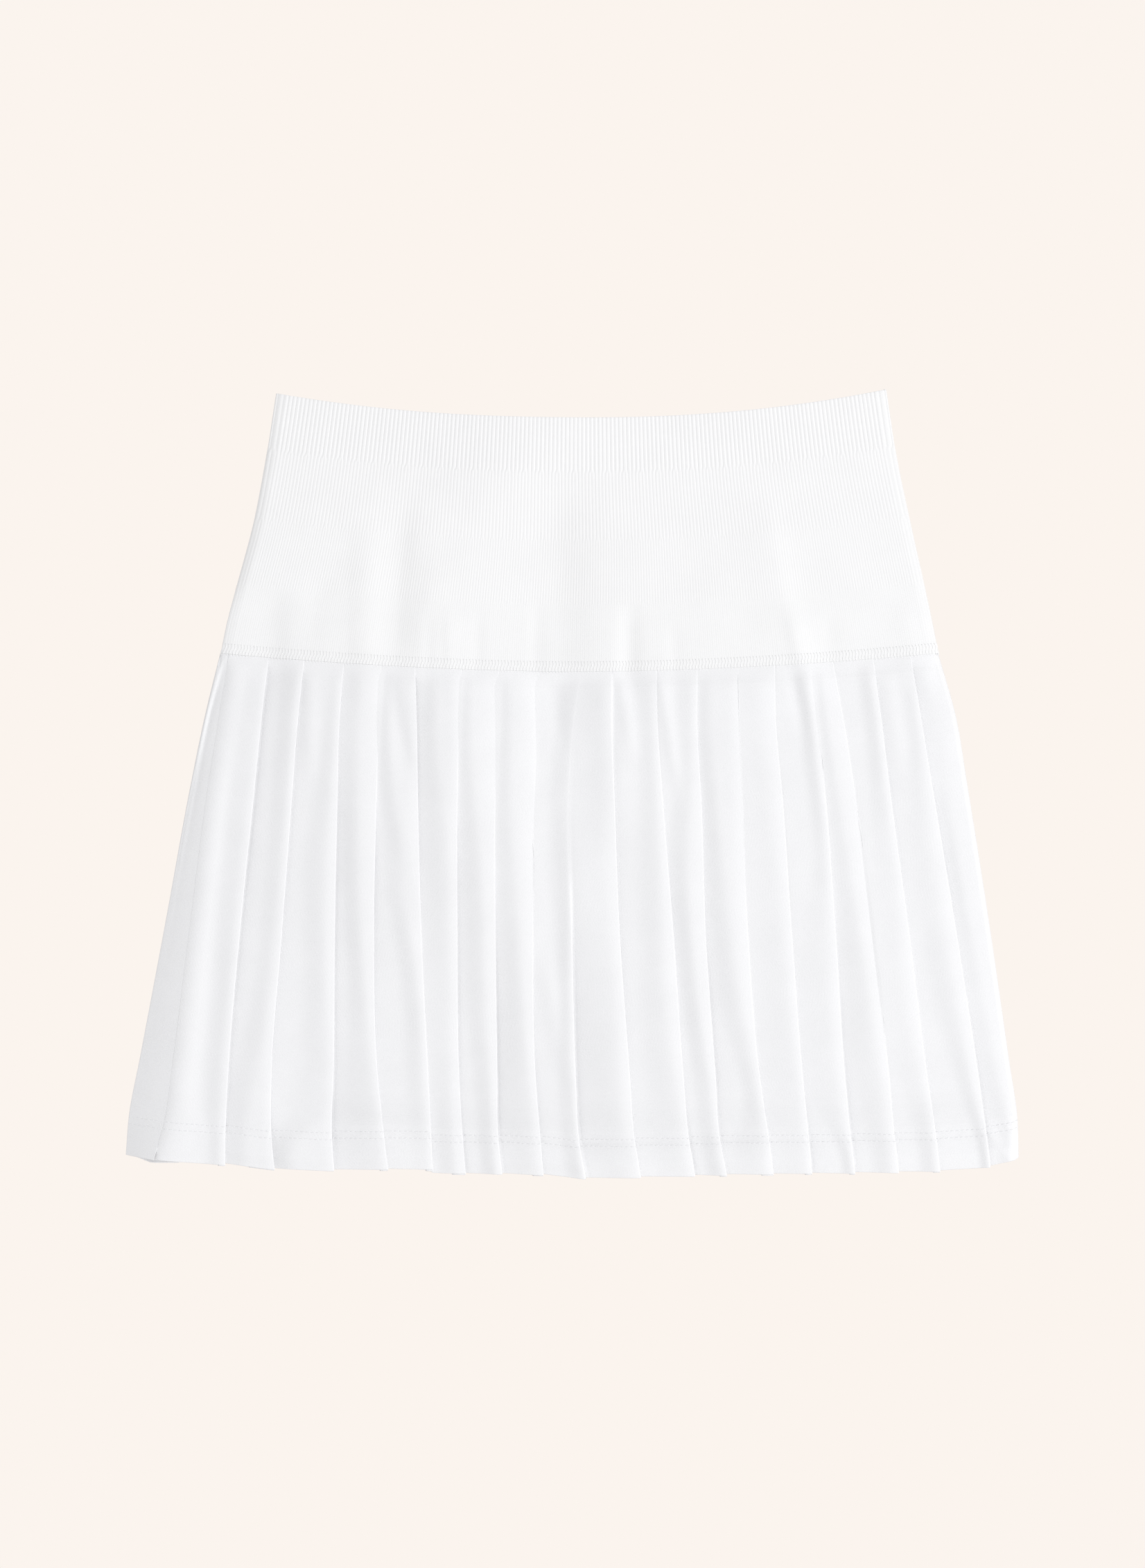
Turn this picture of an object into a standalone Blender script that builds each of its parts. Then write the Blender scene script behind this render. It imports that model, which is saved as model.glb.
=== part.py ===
"""Pleated tennis skirt, laid flat on its back.

A seamless knitted yoke carries a knife-pleated skirt. The skirt is cut in two pieces, front and back, and the
back wraps round the left edge to meet the front in a side seam beside the first fold.

Axes: +X to the right, +Y from the hem to the waist, +Z up from the surface that the skirt lies on.
Tables and sizes are in millimetres, and MM turns them into Blender's metres.
"""

from collections import namedtuple

import bpy
import numpy as np

MM = 0.001


def table(columns, *rows):
    """Rows whose values are read by their column's name."""
    row_type = namedtuple("Row", columns)
    return [row_type(*row) for row in rows]


# ---------------------------------------------------------------- cloth
KNIT_WALL = 1.8  # ribbed knit, over the ribs
CLOTH_WALL = 1.0  # pleated jersey
LAYER = 1.4  # from one layer of a pleat to the next
SLIT = 0.35  # between the front's lowest layer and the back's highest
SEAM_GAP = 0.3  # between two sewn pieces

# ---------------------------------------------------------------- outline, flat
WAIST_MID, WAIST_RISE_LEFT, WAIST_RISE_RIGHT = 200.5, 13.3, 15.5
SEAM_MID, SEAM_RISE = 61.5, 10.0
WAIST_BEND, SEAM_BEND = 2.2, 1.8  # powers of the two curves, which dip in the middle
LEFT_HEM, RIGHT_HEM = -202.9, -204.3  # Y of the hem's two corners

# X of the yoke's edges, at shares of its height below the waist.
YOKE_EDGES = table(
    "share left right",
    (0.00, -162.5, 172.0),
    (0.25, -168.0, 177.5),
    (0.50, -175.0, 185.0),
    (0.75, -185.0, 193.0),
    (0.90, -190.5, 198.0),
    (1.00, -193.0, 201.0),
)

# X of the skirt's edges and of the roll where its front begins, at shares of its height below the seam.
SKIRT_EDGES = table(
    "share left roll right",
    (0.00, -193.0, -188.0, 201.0),
    (0.25, -208.5, -197.5, 215.5),
    (0.50, -221.0, -208.0, 226.0),
    (0.75, -234.5, -216.0, 236.5),
    (1.00, -244.5, -228.0, 244.5),
)

# ---------------------------------------------------------------- knitted yoke
YOKE_HEIGHT_WAIST, YOKE_HEIGHT_SEAM = 4.6, 6.8  # top of the front layer over the surface
EDGE_REACH = 5.0  # how far in from an edge the front layer has rounded off
EDGE_LOW = 0.5  # share of the height at which an edge is widest
EDGE_UNDER = 1.6  # how far in from an edge the underside starts
EDGE_STEPS = (0.0, 2.2, 4.2, 6.6)  # points down each rounded edge where the knit is plain
PLAIN_POINTS = 58  # between the two edges, where the knit is plain
INSIDE_POINTS = 24  # the same on the plain inside
BACK_POINTS = 18  # across the flat underside
TURN_POINTS, LEVEL_POINTS = 25, 160  # of the curve that the front's points are read from

# Ribbed zones from the waist down: four ribs of the first fork into five of the second, three of that into four.
RIB_ZONES = table(
    "ribs depth shares",
    (150, 0.45, (0.0, 0.225)),
    (188, 0.38, (0.240, 0.490)),
    (250, 0.30, (0.505, 0.620, 0.735)),
)
PLAIN_SHARES = (0.750, 0.80, 0.85, 0.90, 0.95, 1.0)
INSIDE_SHARES = (1.0, 0.90, 0.80, 0.62, 0.30, 0.0)

# Soft folds of the yoke's front: middle of each, half its width and half its length, lean, and rise.
SOFT_FOLDS = table(
    "x y wide long lean rise",
    (-1.0, 98.0, 7.0, 30.0, 0.0, -2.0),
    (-93.5, 98.0, 6.0, 28.0, 0.05, -1.5),
    (38.5, 80.0, 6.0, 18.0, 0.0, -1.4),
    (121.0, 83.0, 6.0, 24.0, -1.1, -1.6),
    (-70.5, 121.0, 8.0, 12.0, 0.0, -0.9),
    (-39.0, 118.0, 12.0, 22.0, 0.1, 0.8),
    (119.5, 112.0, 13.0, 22.0, 0.0, 0.8),
    (-150.0, 95.0, 10.0, 26.0, 0.2, -0.8),
    (75.0, 95.0, 12.0, 26.0, 0.0, 0.6),
    (172.0, 86.0, 8.0, 22.0, -0.4, 0.7),
)

# ---------------------------------------------------------------- pleats
# One row for each fold of the front, left to right. Each fold is the right edge of a panel that lies over the
# next one: X of the fold from the seam down to the hem in quarters of the height, Y of the panel's corner at the
# hem, how far the next panel's hem starts above that corner, and how high the fold puffs.
FOLDS = table(
    "seam upper middle lower hem corner step puff",
    (-167.0, -174.5, -181.5, -187.5, -190.0, -208.1, 0.9, 2.2),
    (-147.0, -153.5, -158.5, -163.5, -163.0, -210.7, 0.7, 2.2),
    (-125.0, -128.5, -130.0, -130.5, -130.5, -211.5, 0.8, 2.0),
    (-104.5, -107.5, -109.0, -107.5, -101.0, -210.7, 0.6, 1.8),
    (-86.5, -84.5, -83.0, -79.5, -76.5, -210.7, -1.6, 1.6),
    (-60.5, -63.0, -63.0, -62.0, -58.5, -213.0, 0.4, 2.0),
    (-39.5, -42.0, -42.0, -41.5, -39.0, -213.4, 0.7, 2.0),
    (-17.5, -20.5, -21.5, -20.5, -16.0, -213.8, 0.6, 1.5),
    (6.0, -2.5, -1.0, 1.5, 5.5, -216.0, 0.8, 1.6),
    (20.5, 23.0, 25.5, 30.0, 37.0, -215.3, 0.8, 2.2),
    (45.0, 49.0, 55.0, 60.0, 66.5, -214.5, 0.9, 2.4),
    (69.0, 71.0, 73.0, 77.5, 84.0, -214.1, 0.9, 2.2),
    (90.5, 93.0, 96.5, 101.5, 110.0, -213.4, 0.6, 2.4),
    (111.0, 115.5, 119.5, 125.0, 131.5, -213.0, 0.5, 1.8),
    (130.5, 138.5, 144.5, 148.5, 155.0, -213.0, 0.8, 2.3),
    (143.5, 155.0, 163.5, 172.0, 179.0, -212.6, 0.9, 1.9),
    (165.5, 174.5, 183.5, 193.0, 201.0, -211.9, 0.7, 2.0),
    (187.0, 198.0, 210.0, 221.0, 228.5, -209.6, 0.9, 2.2),
)
FOLD_SHARE, FOLD_MOST = 0.55, 13.0  # underlay of a pleat: share of its panel's width, and the most
FRONT_SHARES = (0.0, 0.08, 0.25, 0.50, 0.75, 0.92, 1.0)
BACK_SHARES = (0.0, 0.08, 0.25, 0.50, 0.75, 1.0)

# How much of its puff a fold has, at shares of the skirt's height.
PUFF_GROWTH = table("share puff", (0.0, 0.15), (0.08, 0.5), (0.30, 0.9), (0.75, 1.0), (0.92, 1.15), (1.0, 0.9))

# Height of the narrow ridge that hugs the left edge below the yoke.
EDGE_RIDGE = table("share rise", (0.0, 0.0), (0.08, 1.5), (0.25, 0.7), (0.40, 0.0))

# Heights of the middle of the cloth over the surface.
BACK_LOW = CLOTH_WALL / 2
FRONT_LOW = BACK_LOW + 2 * LAYER + CLOTH_WALL + SLIT
ROLL_RISE = 1.1  # top of the roll over the panels
ROLL_TOP = FRONT_LOW + 2 * LAYER + ROLL_RISE

# The sections are tables of points in the order that the cloth runs. Heights in layers are over the lowest
# layer, and lift is how far a point's hem is above the corner that belongs to it.

# A front fold. A point lies left of it by a share of the underlay and a distance; puff is its share of the puff.
FRONT_FOLD = table(
    "under left layers puff lift",
    (1.0, 1.0, 2.0, 0.00, 0.8),  # the panel has risen over the folds beneath
    (0.0, 6.0, 2.0, 0.30, 0.4),
    (0.0, 3.2, 2.0, 1.00, 0.0),  # top of the roll
    (0.0, 1.1, 2.0, 0.55, 0.0),
    (0.0, 0.0, 1.5, 0.00, 0.0),  # the fold
    (0.0, 1.3, 1.0, 0.00, 0.3),
    (1.0, -1.0, 1.0, 0.00, 1.2),
    (1.0, 0.0, 0.5, 0.00, 1.2),  # the inner fold
    (1.0, -1.0, 0.0, 0.00, 1.2),
)
COMES_OUT = 0.5  # right of a fold, where the next panel shows

# A back fold, the same turned over: its panel's outer face lies on the surface.
BACK_FOLD = table(
    "under right layers lift",
    (0.0, 1.2, 0.0, 0.7),
    (0.0, 0.0, 0.5, 0.7),  # the fold
    (0.0, 1.2, 1.0, 0.7),
    (1.0, -1.0, 1.0, 0.7),
    (1.0, 0.0, 1.5, 0.7),  # the inner fold
    (1.0, -1.0, 2.0, 0.7),
    (0.0, -0.2, 2.0, 0.7),
    (0.0, -2.8, 0.0, 1.1),  # the next panel is down on the surface
)

# The roll where the front begins, from the side seam: right of its top, and below it.
LEFT_ROLL = table("right below lift", (-1.6, 1.0, 0.0), (0.4, 0.0, 0.0), (2.6, 0.3, -0.3))

# The first and the last panel sag between their folds: share of the panel's width, and depth below its top.
FIRST_SAG, LAST_SAG = table("across below lift", (0.35, 1.2, -0.7), (0.45, 0.4, -2.6))

# The front's last panel rolls round the right edge: how far in from it, and height.
RIGHT_ROLL = table(
    "inward height lift",
    (4.6, 7.25, -1.4),
    (1.8, 5.85, 0.0),
    (0.3, 4.65, 0.0),
    (0.0, 2.70, 0.0),
    (0.6, 1.20, 0.0),
    (1.8, 0.50, 0.0),
    (3.0, 0.50, 0.0),
)

# The back rolls up round the left edge, and then climbs to the side seam. A point of the climb is a share of
# the way across and of the way up, with a share of the edge's ridge.
LEFT_EDGE = table("inward height lift", (1.9, 0.5, 0.0), (0.6, 1.0, 0.0), (0.0, 2.0, 0.0), (0.8, 3.1, 0.0))
LEFT_CLIMB = table("across up ridge lift", (0.35, 0.4, 1.0, -0.7), (0.70, 0.7, -0.3, -1.6), (1.0, 1.0, 0.0, -2.3))
SEAM_RUN_X, SEAM_RUN_Z = 1.2, 0.6  # last stretch of the climb, in line with the front's roll
SEAM_STEP_X, SEAM_STEP_Z = 0.9 * SEAM_GAP, 0.45 * SEAM_GAP  # gap across the side seam, along the same line


def read(rows, share, column):
    """Value of a column at a share of the height, between the rows of a table that starts with shares."""
    return float(np.interp(share, [row.share for row in rows], [getattr(row, column) for row in rows]))


def waist_y(q):
    """Y of the waist edge, where q runs from -1 at the left edge to 1 at the right."""
    return WAIST_MID + np.where(q < 0, WAIST_RISE_LEFT, WAIST_RISE_RIGHT) * np.abs(q) ** WAIST_BEND


def seam_y(q):
    """Y of the seam between yoke and skirt."""
    return SEAM_MID + SEAM_RISE * np.abs(q) ** SEAM_BEND


def between(x, left, right):
    """Place of x between two edges, from -1 to 1."""
    return np.clip((2 * x - left - right) / (right - left), -1, 1)


def material(name, colour, roughness):
    finish = bpy.data.materials.new(name)
    finish.use_nodes = True
    shader = finish.node_tree.nodes["Principled BSDF"]
    shader.inputs["Base Color"].default_value = (*colour, 1)
    shader.inputs["Roughness"].default_value = roughness
    shader.inputs["Metallic"].default_value = 0.0
    return finish


def add_piece(name, points, faces, finish, collection):
    """An object of its own from points in millimetres."""
    mesh = bpy.data.meshes.new(name)
    mesh.from_pydata((np.asarray(points) * MM).tolist(), [], faces)
    mesh.shade_smooth()
    mesh.set_sharp_from_angle(angle=np.radians(50))
    mesh.materials.append(finish)
    piece = bpy.data.objects.new(name, mesh)
    collection.objects.link(piece)
    return piece


# ---------------------------------------------------------------- knitted yoke
def soft_rise(x, y):
    """Sum of the soft folds, each a bell along and across its own line."""
    rise = np.zeros_like(x)
    for fold in SOFT_FOLDS:
        across = (x - fold.x - fold.lean * (y - fold.y)) / fold.wide
        along = (y - fold.y) / fold.long
        rise += fold.rise * np.exp(-(across**2) - along**4)
    return rise


def even(count):
    """Places spread evenly along a line of a given length."""
    return lambda length: np.linspace(0, length, count)


def close_at_edges(count):
    """Places spread evenly along a line, with closer ones at both ends."""

    def places(length):
        ends = np.array(EDGE_STEPS)
        middle = np.linspace(ends[-1], length - ends[-1], count)[1:-1]
        return np.concatenate([ends, middle, length - ends[::-1]])

    return places


def yoke_front(share, places, inset):
    """Points across the front layer, left to right, moved inwards by inset.

    The layer is level, with soft folds, and rounds off to both edges in a quarter of an ellipse.
    """
    left, right = read(YOKE_EDGES, share, "left"), read(YOKE_EDGES, share, "right")
    height = YOKE_HEIGHT_WAIST + (YOKE_HEIGHT_SEAM - YOKE_HEIGHT_WAIST) * share
    low = EDGE_LOW * height
    turn = np.linspace(0, np.pi / 2, TURN_POINTS)
    rise_x, rise_z = EDGE_REACH * (1 - np.cos(turn)), low + (height - low) * np.sin(turn)
    level = np.linspace(left + EDGE_REACH, right - EDGE_REACH, LEVEL_POINTS)[1:-1]
    x = np.concatenate([left + rise_x, level, (right - rise_x)[::-1]])
    z = np.concatenate([rise_z, np.full(level.size, height), rise_z[::-1]])
    along = np.concatenate([[0], np.cumsum(np.hypot(np.diff(x), np.diff(z)))])
    slope_x, slope_z = np.gradient(x), np.gradient(z)
    length = np.hypot(slope_x, slope_z)
    at = places(along[-1])
    inward_x, inward_z = np.interp(at, along, slope_z / length), np.interp(at, along, -slope_x / length)
    x, z = np.interp(at, along, x), np.interp(at, along, z)
    q = between(x, left, right)
    y = waist_y(q) + (seam_y(q) + SEAM_GAP / 2 - waist_y(q)) * share
    z = z + soft_rise(x, y) * np.clip((z - low) / (height - low), 0, 1)
    return np.stack([x + inset * inward_x, y, z + inset * inward_z], axis=1)


def yoke_back(share, inset):
    """Points across the flat back layer, right to left."""
    left, right = read(YOKE_EDGES, share, "left"), read(YOKE_EDGES, share, "right")
    corner = EDGE_UNDER + inset
    x = np.linspace(right - corner, left + corner, BACK_POINTS)
    q = between(x, left, right)
    y = waist_y(q) + (seam_y(q) + SEAM_GAP / 2 - waist_y(q)) * share
    return np.stack([x, y, np.full(x.size, float(inset))], axis=1)


def ribbed_ring(share, ribs, depth):
    """Once round the outside: over the front, with every second point a rib's crest, and back underneath."""
    points = 2 * ribs + 1
    grooves = np.where(np.arange(points) % 2, 0.0, depth)
    return np.concatenate([yoke_front(share, even(points), grooves), yoke_back(share, 0.0)])


def plain_ring(share, points, inset):
    """Once round the outside, or round the inside with the wall as the inset."""
    return np.concatenate([yoke_front(share, close_at_edges(points), inset), yoke_back(share, inset)])


def share_round(ring):
    """Place of each point round its ring, from 0 to 1 over the front and from 1 to 2 underneath."""
    over = ring[:-BACK_POINTS, 0]
    under = 1 + np.arange(1, BACK_POINTS + 1) / (BACK_POINTS + 1)
    return np.concatenate([(over - over[0]) / (over[-1] - over[0]), under])


def loft_between(first, second, start_a, start_b):
    """Triangles between two closed rings of unlike counts, stepping on whichever ring is behind."""
    place_a, place_b = np.append(share_round(first), 2.0), np.append(share_round(second), 2.0)
    count_a, count_b = len(first), len(second)
    i = j = 0
    faces = []
    while i < count_a or j < count_b:
        a, b = start_a + i % count_a, start_b + j % count_b
        step_a = j == count_b or (i < count_a and place_a[i + 1] <= place_b[j + 1])
        if step_a:
            faces.append((a, b, start_a + (i + 1) % count_a))
            i += 1
        else:
            faces.append((a, b, start_b + (j + 1) % count_b))
            j += 1
    return faces


def knit_yoke(finish, collection):
    """The wall: rings down the outside and up the inside, lofted into one closed surface."""
    rings = []
    for zone in RIB_ZONES:
        for share in zone.shares:
            rings.append(ribbed_ring(share, zone.ribs, zone.depth))
    for share in PLAIN_SHARES:
        rings.append(plain_ring(share, PLAIN_POINTS, 0.0))
    for share in INSIDE_SHARES:
        rings.append(plain_ring(share, INSIDE_POINTS, KNIT_WALL))
    starts = np.cumsum([0] + [len(ring) for ring in rings])
    faces = []
    for k, ring in enumerate(rings):
        after = (k + 1) % len(rings)
        faces += loft_between(ring, rings[after], int(starts[k]), int(starts[after]))
    return add_piece("knit_yoke", np.concatenate(rings), faces, finish, collection)


# ---------------------------------------------------------------- pleated skirt
def skirt_edges(share):
    """X of the left edge, of the roll and of the right edge."""
    return [read(SKIRT_EDGES, share, column) for column in ("left", "roll", "right")]


def fold_places(share):
    """X of every front fold."""
    quarters = [edges.share for edges in SKIRT_EDGES]
    return np.array([np.interp(share, quarters, fold[: len(quarters)]) for fold in FOLDS])


def underlay(panel_width):
    """How far a pleat is folded under its panel."""
    return min(FOLD_SHARE * panel_width, FOLD_MOST)


def front_section(share):
    """Middle of the front's cloth at one height, left to right: X, Z and the Y that each point has at the hem."""
    left, roll, right = skirt_edges(share)
    folds = fold_places(share)
    growth = read(PUFF_GROWTH, share, "puff")
    top = FRONT_LOW + 2 * LAYER
    roll_hem = LEFT_HEM + LEFT_CLIMB[-1].lift
    section = [(roll + point.right, ROLL_TOP - point.below, roll_hem + point.lift) for point in LEFT_ROLL]
    first = roll + FIRST_SAG.across * (folds[0] - roll)
    section.append((first, top - FIRST_SAG.below, roll_hem + FIRST_SAG.lift))
    begin = roll
    for x, fold in zip(folds, FOLDS):
        deep = underlay(x - begin)
        for point in FRONT_FOLD:
            height = FRONT_LOW + point.layers * LAYER + point.puff * fold.puff * growth
            section.append((x - point.under * deep - point.left, height, fold.corner + point.lift))
        section.append((x + COMES_OUT, FRONT_LOW, fold.corner + fold.step))
        begin = x
    last = begin + LAST_SAG.across * (right - begin)
    section.append((last, top - LAST_SAG.below, RIGHT_HEM + LAST_SAG.lift))
    edge = right - CLOTH_WALL / 2
    section += [(edge - point.inward, point.height, RIGHT_HEM + point.lift) for point in RIGHT_ROLL]
    return np.array(section), left, right


def back_section(share):
    """Middle of the back's cloth, from the right seam along the surface and round the left edge to the side seam.

    Its folds are the front's, mirrored and turned over, so that each panel's outer face lies on the surface.
    """
    left, roll, right = skirt_edges(share)
    folds = right - (fold_places(share) - left)
    begin = right - CLOTH_WALL / 2 - RIGHT_ROLL[-1].inward - SEAM_GAP
    section = [(begin, BACK_LOW, RIGHT_HEM)]
    for x, fold in zip(folds, FOLDS):
        deep = underlay(begin - x)
        for point in BACK_FOLD:
            height = BACK_LOW + point.layers * LAYER
            section.append((x + point.under * deep + point.right, height, fold.corner + point.lift))
        begin = x
    edge = left + CLOTH_WALL / 2
    section += [(edge + point.inward, point.height, LEFT_HEM + point.lift) for point in LEFT_EDGE]
    foot_x, foot_z, _ = section[-1]
    seam_x = roll + LEFT_ROLL[0].right - SEAM_STEP_X
    seam_z = ROLL_TOP - LEFT_ROLL[0].below - SEAM_STEP_Z
    across, up = seam_x - SEAM_RUN_X - foot_x, seam_z - SEAM_RUN_Z - foot_z
    ridge = read(EDGE_RIDGE, share, "rise")
    for point in LEFT_CLIMB:
        height = foot_z + point.up * up + point.ridge * ridge
        section.append((foot_x + point.across * across, height, LEFT_HEM + point.lift))
    section.append((seam_x, seam_z, LEFT_HEM + LEFT_CLIMB[-1].lift))
    return np.array(section), left, right


def pleated(name, section_at, shares, finish, collection):
    """An open sheet through one section for each share of the height, thickened to both sides."""
    rows = []
    for share in shares:
        section, left, right = section_at(share)
        top = seam_y(between(section[:, 0], left, right)) - SEAM_GAP / 2
        y = top + (section[:, 2] - top) * share
        rows.append(np.stack([section[:, 0], y, section[:, 1]], axis=1))
    count = len(rows[0])
    faces = [
        (k * count + i, (k + 1) * count + i, (k + 1) * count + i + 1, k * count + i + 1)
        for k in range(len(rows) - 1)
        for i in range(count - 1)
    ]
    piece = add_piece(name, np.concatenate(rows), faces, finish, collection)
    wall = piece.modifiers.new("Wall", "SOLIDIFY")
    wall.thickness = CLOTH_WALL * MM
    wall.offset = 0.0
    wall.use_even_offset = True
    wall.use_quality_normals = True
    return piece


def main():
    for old in list(bpy.data.objects):
        bpy.data.objects.remove(old)
    skirt = bpy.data.collections.new("tennis_skirt")
    bpy.context.scene.collection.children.link(skirt)
    knit = material("white_knit", (0.86, 0.85, 0.83), 0.9)
    jersey = material("white_jersey", (0.88, 0.87, 0.85), 0.85)
    knit_yoke(knit, skirt)
    pleated("skirt_front", front_section, FRONT_SHARES, jersey, skirt)
    pleated("skirt_back", back_section, BACK_SHARES, jersey, skirt)


main()
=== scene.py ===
# %% [markdown]
# # A pleated tennis skirt, laid flat
#
# This lesson dresses a plain model of a skirt in finished cloth. The skirt lies on its back: a
# knitted yoke, whose ribs get finer in steps towards the hip, and below it a front and a back panel
# of knife-pleated jersey. The plain model gives the sizes and carries the weight. Here each of its
# three solids is replaced by a thin shell with the ribs, folds, creases and stitches that the cloth
# really has.

# %% The plain model is the frame
from collections import namedtuple

import bpy
import numpy as np
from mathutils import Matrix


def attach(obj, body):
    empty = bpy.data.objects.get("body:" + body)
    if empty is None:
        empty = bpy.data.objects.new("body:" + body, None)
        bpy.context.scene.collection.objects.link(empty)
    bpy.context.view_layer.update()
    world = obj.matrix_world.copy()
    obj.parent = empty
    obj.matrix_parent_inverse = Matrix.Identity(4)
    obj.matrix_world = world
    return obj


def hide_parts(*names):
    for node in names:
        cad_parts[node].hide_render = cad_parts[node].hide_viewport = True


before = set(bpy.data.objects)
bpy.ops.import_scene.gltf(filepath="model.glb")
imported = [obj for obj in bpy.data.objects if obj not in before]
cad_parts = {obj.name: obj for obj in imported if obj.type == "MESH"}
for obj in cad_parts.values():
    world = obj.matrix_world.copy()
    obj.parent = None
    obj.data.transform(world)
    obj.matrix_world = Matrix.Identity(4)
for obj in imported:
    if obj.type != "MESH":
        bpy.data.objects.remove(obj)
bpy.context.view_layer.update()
MM = 0.001

# %% [markdown]
# ## Small tools
#
# Cloth is drawn here with numbers: a table holds a row for each fold, and a few functions turn rows
# into smooth surfaces. Everything is in millimetres until a mesh is made. A smooth curve through a
# few sizes could also come from a spline object, but then every point would have to be read back
# from Blender. A cubic between each two sizes is two lines of arithmetic, and works on whole
# arrays.


# %% Tables, easing and smooth curves
def table(columns, *rows):
    """Rows whose values are read by their column's name."""
    row_type = namedtuple("Row", columns)
    return [row_type(*row) for row in rows]


def ease(x):
    """From 0 to 1 with level ends: three times the square, less twice the cube."""
    x = np.clip(x, 0.0, 1.0)
    return x * x * (3 - 2 * x)


def between(x, low, high):
    """Place of x between two edges, from -1 to 1."""
    return np.clip((2 * x - low - high) / (high - low), -1, 1)


def cubic(t, step, start, end, slope_start, slope_end):
    """The cubic that goes from start to end with a slope at each, as t goes from 0 to 1 over a step."""
    begin = (2 * t**3 - 3 * t**2 + 1) * start + (t**3 - 2 * t**2 + t) * step * slope_start
    return begin + (3 * t**2 - 2 * t**3) * end + (t**3 - t**2) * step * slope_end


def through(places, values, at):
    """A smooth curve through values at places, read at other places.

    Between two places it is a cubic, and its slope at each place is that of the parabola through
    three of them.
    """
    places, values = np.asarray(places, float), np.asarray(values, float)
    slopes = np.gradient(values, places, axis=0)
    k = np.clip(np.searchsorted(places, at, side="right") - 1, 0, len(places) - 2)
    step = places[k + 1] - places[k]
    t = (at - places[k]) / step
    if values.ndim > 1:
        step, t = step[:, None], t[:, None]
    return cubic(t, step, values[k], values[k + 1], slopes[k], slopes[k + 1])


def walked(points):
    """How far along its line each point is: the sum of the steps before it."""
    step = np.linalg.norm(np.diff(points, axis=-2), axis=-1)
    return np.concatenate([np.zeros(step.shape[:-1] + (1,)), np.cumsum(step, axis=-1)], axis=-1)


def in_steps(first, spans, last):
    """Shares down a piece: a few listed, then spans, each from a start to an end in a number of
    even steps, and a few listed again."""
    return np.concatenate([first, *(np.linspace(*span) for span in spans), last])


def rounded(points, columns):
    """Rows of points made into smooth curves, read at a set number of columns between each two
    points.

    The slope at a point is that of the parabola through it and its two neighbours, measured along
    the curve, so a long stretch beside a short one doesn't swing out.
    """
    step = np.diff(points, axis=1)
    length = np.maximum(np.linalg.norm(step[..., :2], axis=-1, keepdims=True), 1e-6)
    slope = step / length
    before, after = length[:, :-1], length[:, 1:]
    inner = (slope[:, :-1] * after + slope[:, 1:] * before) / (before + after)
    slopes = np.concatenate([slope[:, :1], inner, slope[:, -1:]], axis=1)
    k = np.repeat(np.arange(len(columns)), columns)
    t = np.concatenate([np.arange(count) / count for count in columns])[:, None]
    curve = cubic(t, length[:, k], points[:, k], points[:, k + 1], slopes[:, k], slopes[:, k + 1])
    return np.concatenate([curve, points[:, -1:]], axis=1)


half_way = through((0, 1, 2), (0, 1, 0), 0.5)
print("ease(0.25) is", ease(0.25), "and a curve through 0, 1, 0 is", half_way, "half way up")

# %% [markdown]
# ## The outline
#
# The waist edge and the seam under the yoke both dip in the middle, because the front of a waist is
# cut lower and the cloth lies a little slack. Both are one formula each: a power of the distance
# from the middle. The side edges flare down to the hem, and are given at a few heights.

# %% Waist, seam and hem
WAIST_MID, WAIST_RISE_LEFT, WAIST_RISE_RIGHT, WAIST_BEND = 200.5, 13.3, 15.5, 2.2
SEAM_MID, SEAM_RISE, SEAM_BEND = 61.5, 10.0, 1.8
LEFT_HEM, RIGHT_HEM = -202.9, -204.3
SEAM_GAP = 0.03  # between two sewn pieces

YOKE_EDGES = table(
    "share left right",
    (0.00, -162.5, 172.0),
    (0.25, -168.0, 177.5),
    (0.50, -174.8, 185.0),
    (0.75, -184.3, 193.0),
    (0.90, -189.8, 197.6),
    (1.00, -192.6, 200.4),
)


def waist_y(q):
    """Y of the waist edge: its middle, and a power of the distance from the middle, q from -1 to 1."""
    return WAIST_MID + np.where(q < 0, WAIST_RISE_LEFT, WAIST_RISE_RIGHT) * np.abs(q) ** WAIST_BEND


def seam_y(q):
    """Y of the seam between yoke and skirt, by the same kind of formula."""
    return SEAM_MID + SEAM_RISE * np.abs(q) ** SEAM_BEND


print("Yoke in the middle:", WAIST_MID - SEAM_MID, "mm high")

# %% [markdown]
# ## How the cloth lies
#
# Cloth that is laid down by hand is never level. Long soft creases run from the pleats up into the
# knit, and the jersey has slanting ones inside its panels. A cloth simulation would make creases
# too, but in places of its own. Here each crease is a row: where it starts and ends, how wide its
# left and its right slope are, and how high or deep it is. Across, it is a bell curve, and along,
# it eases in and out. Most creases are steep on one side only.

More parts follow.
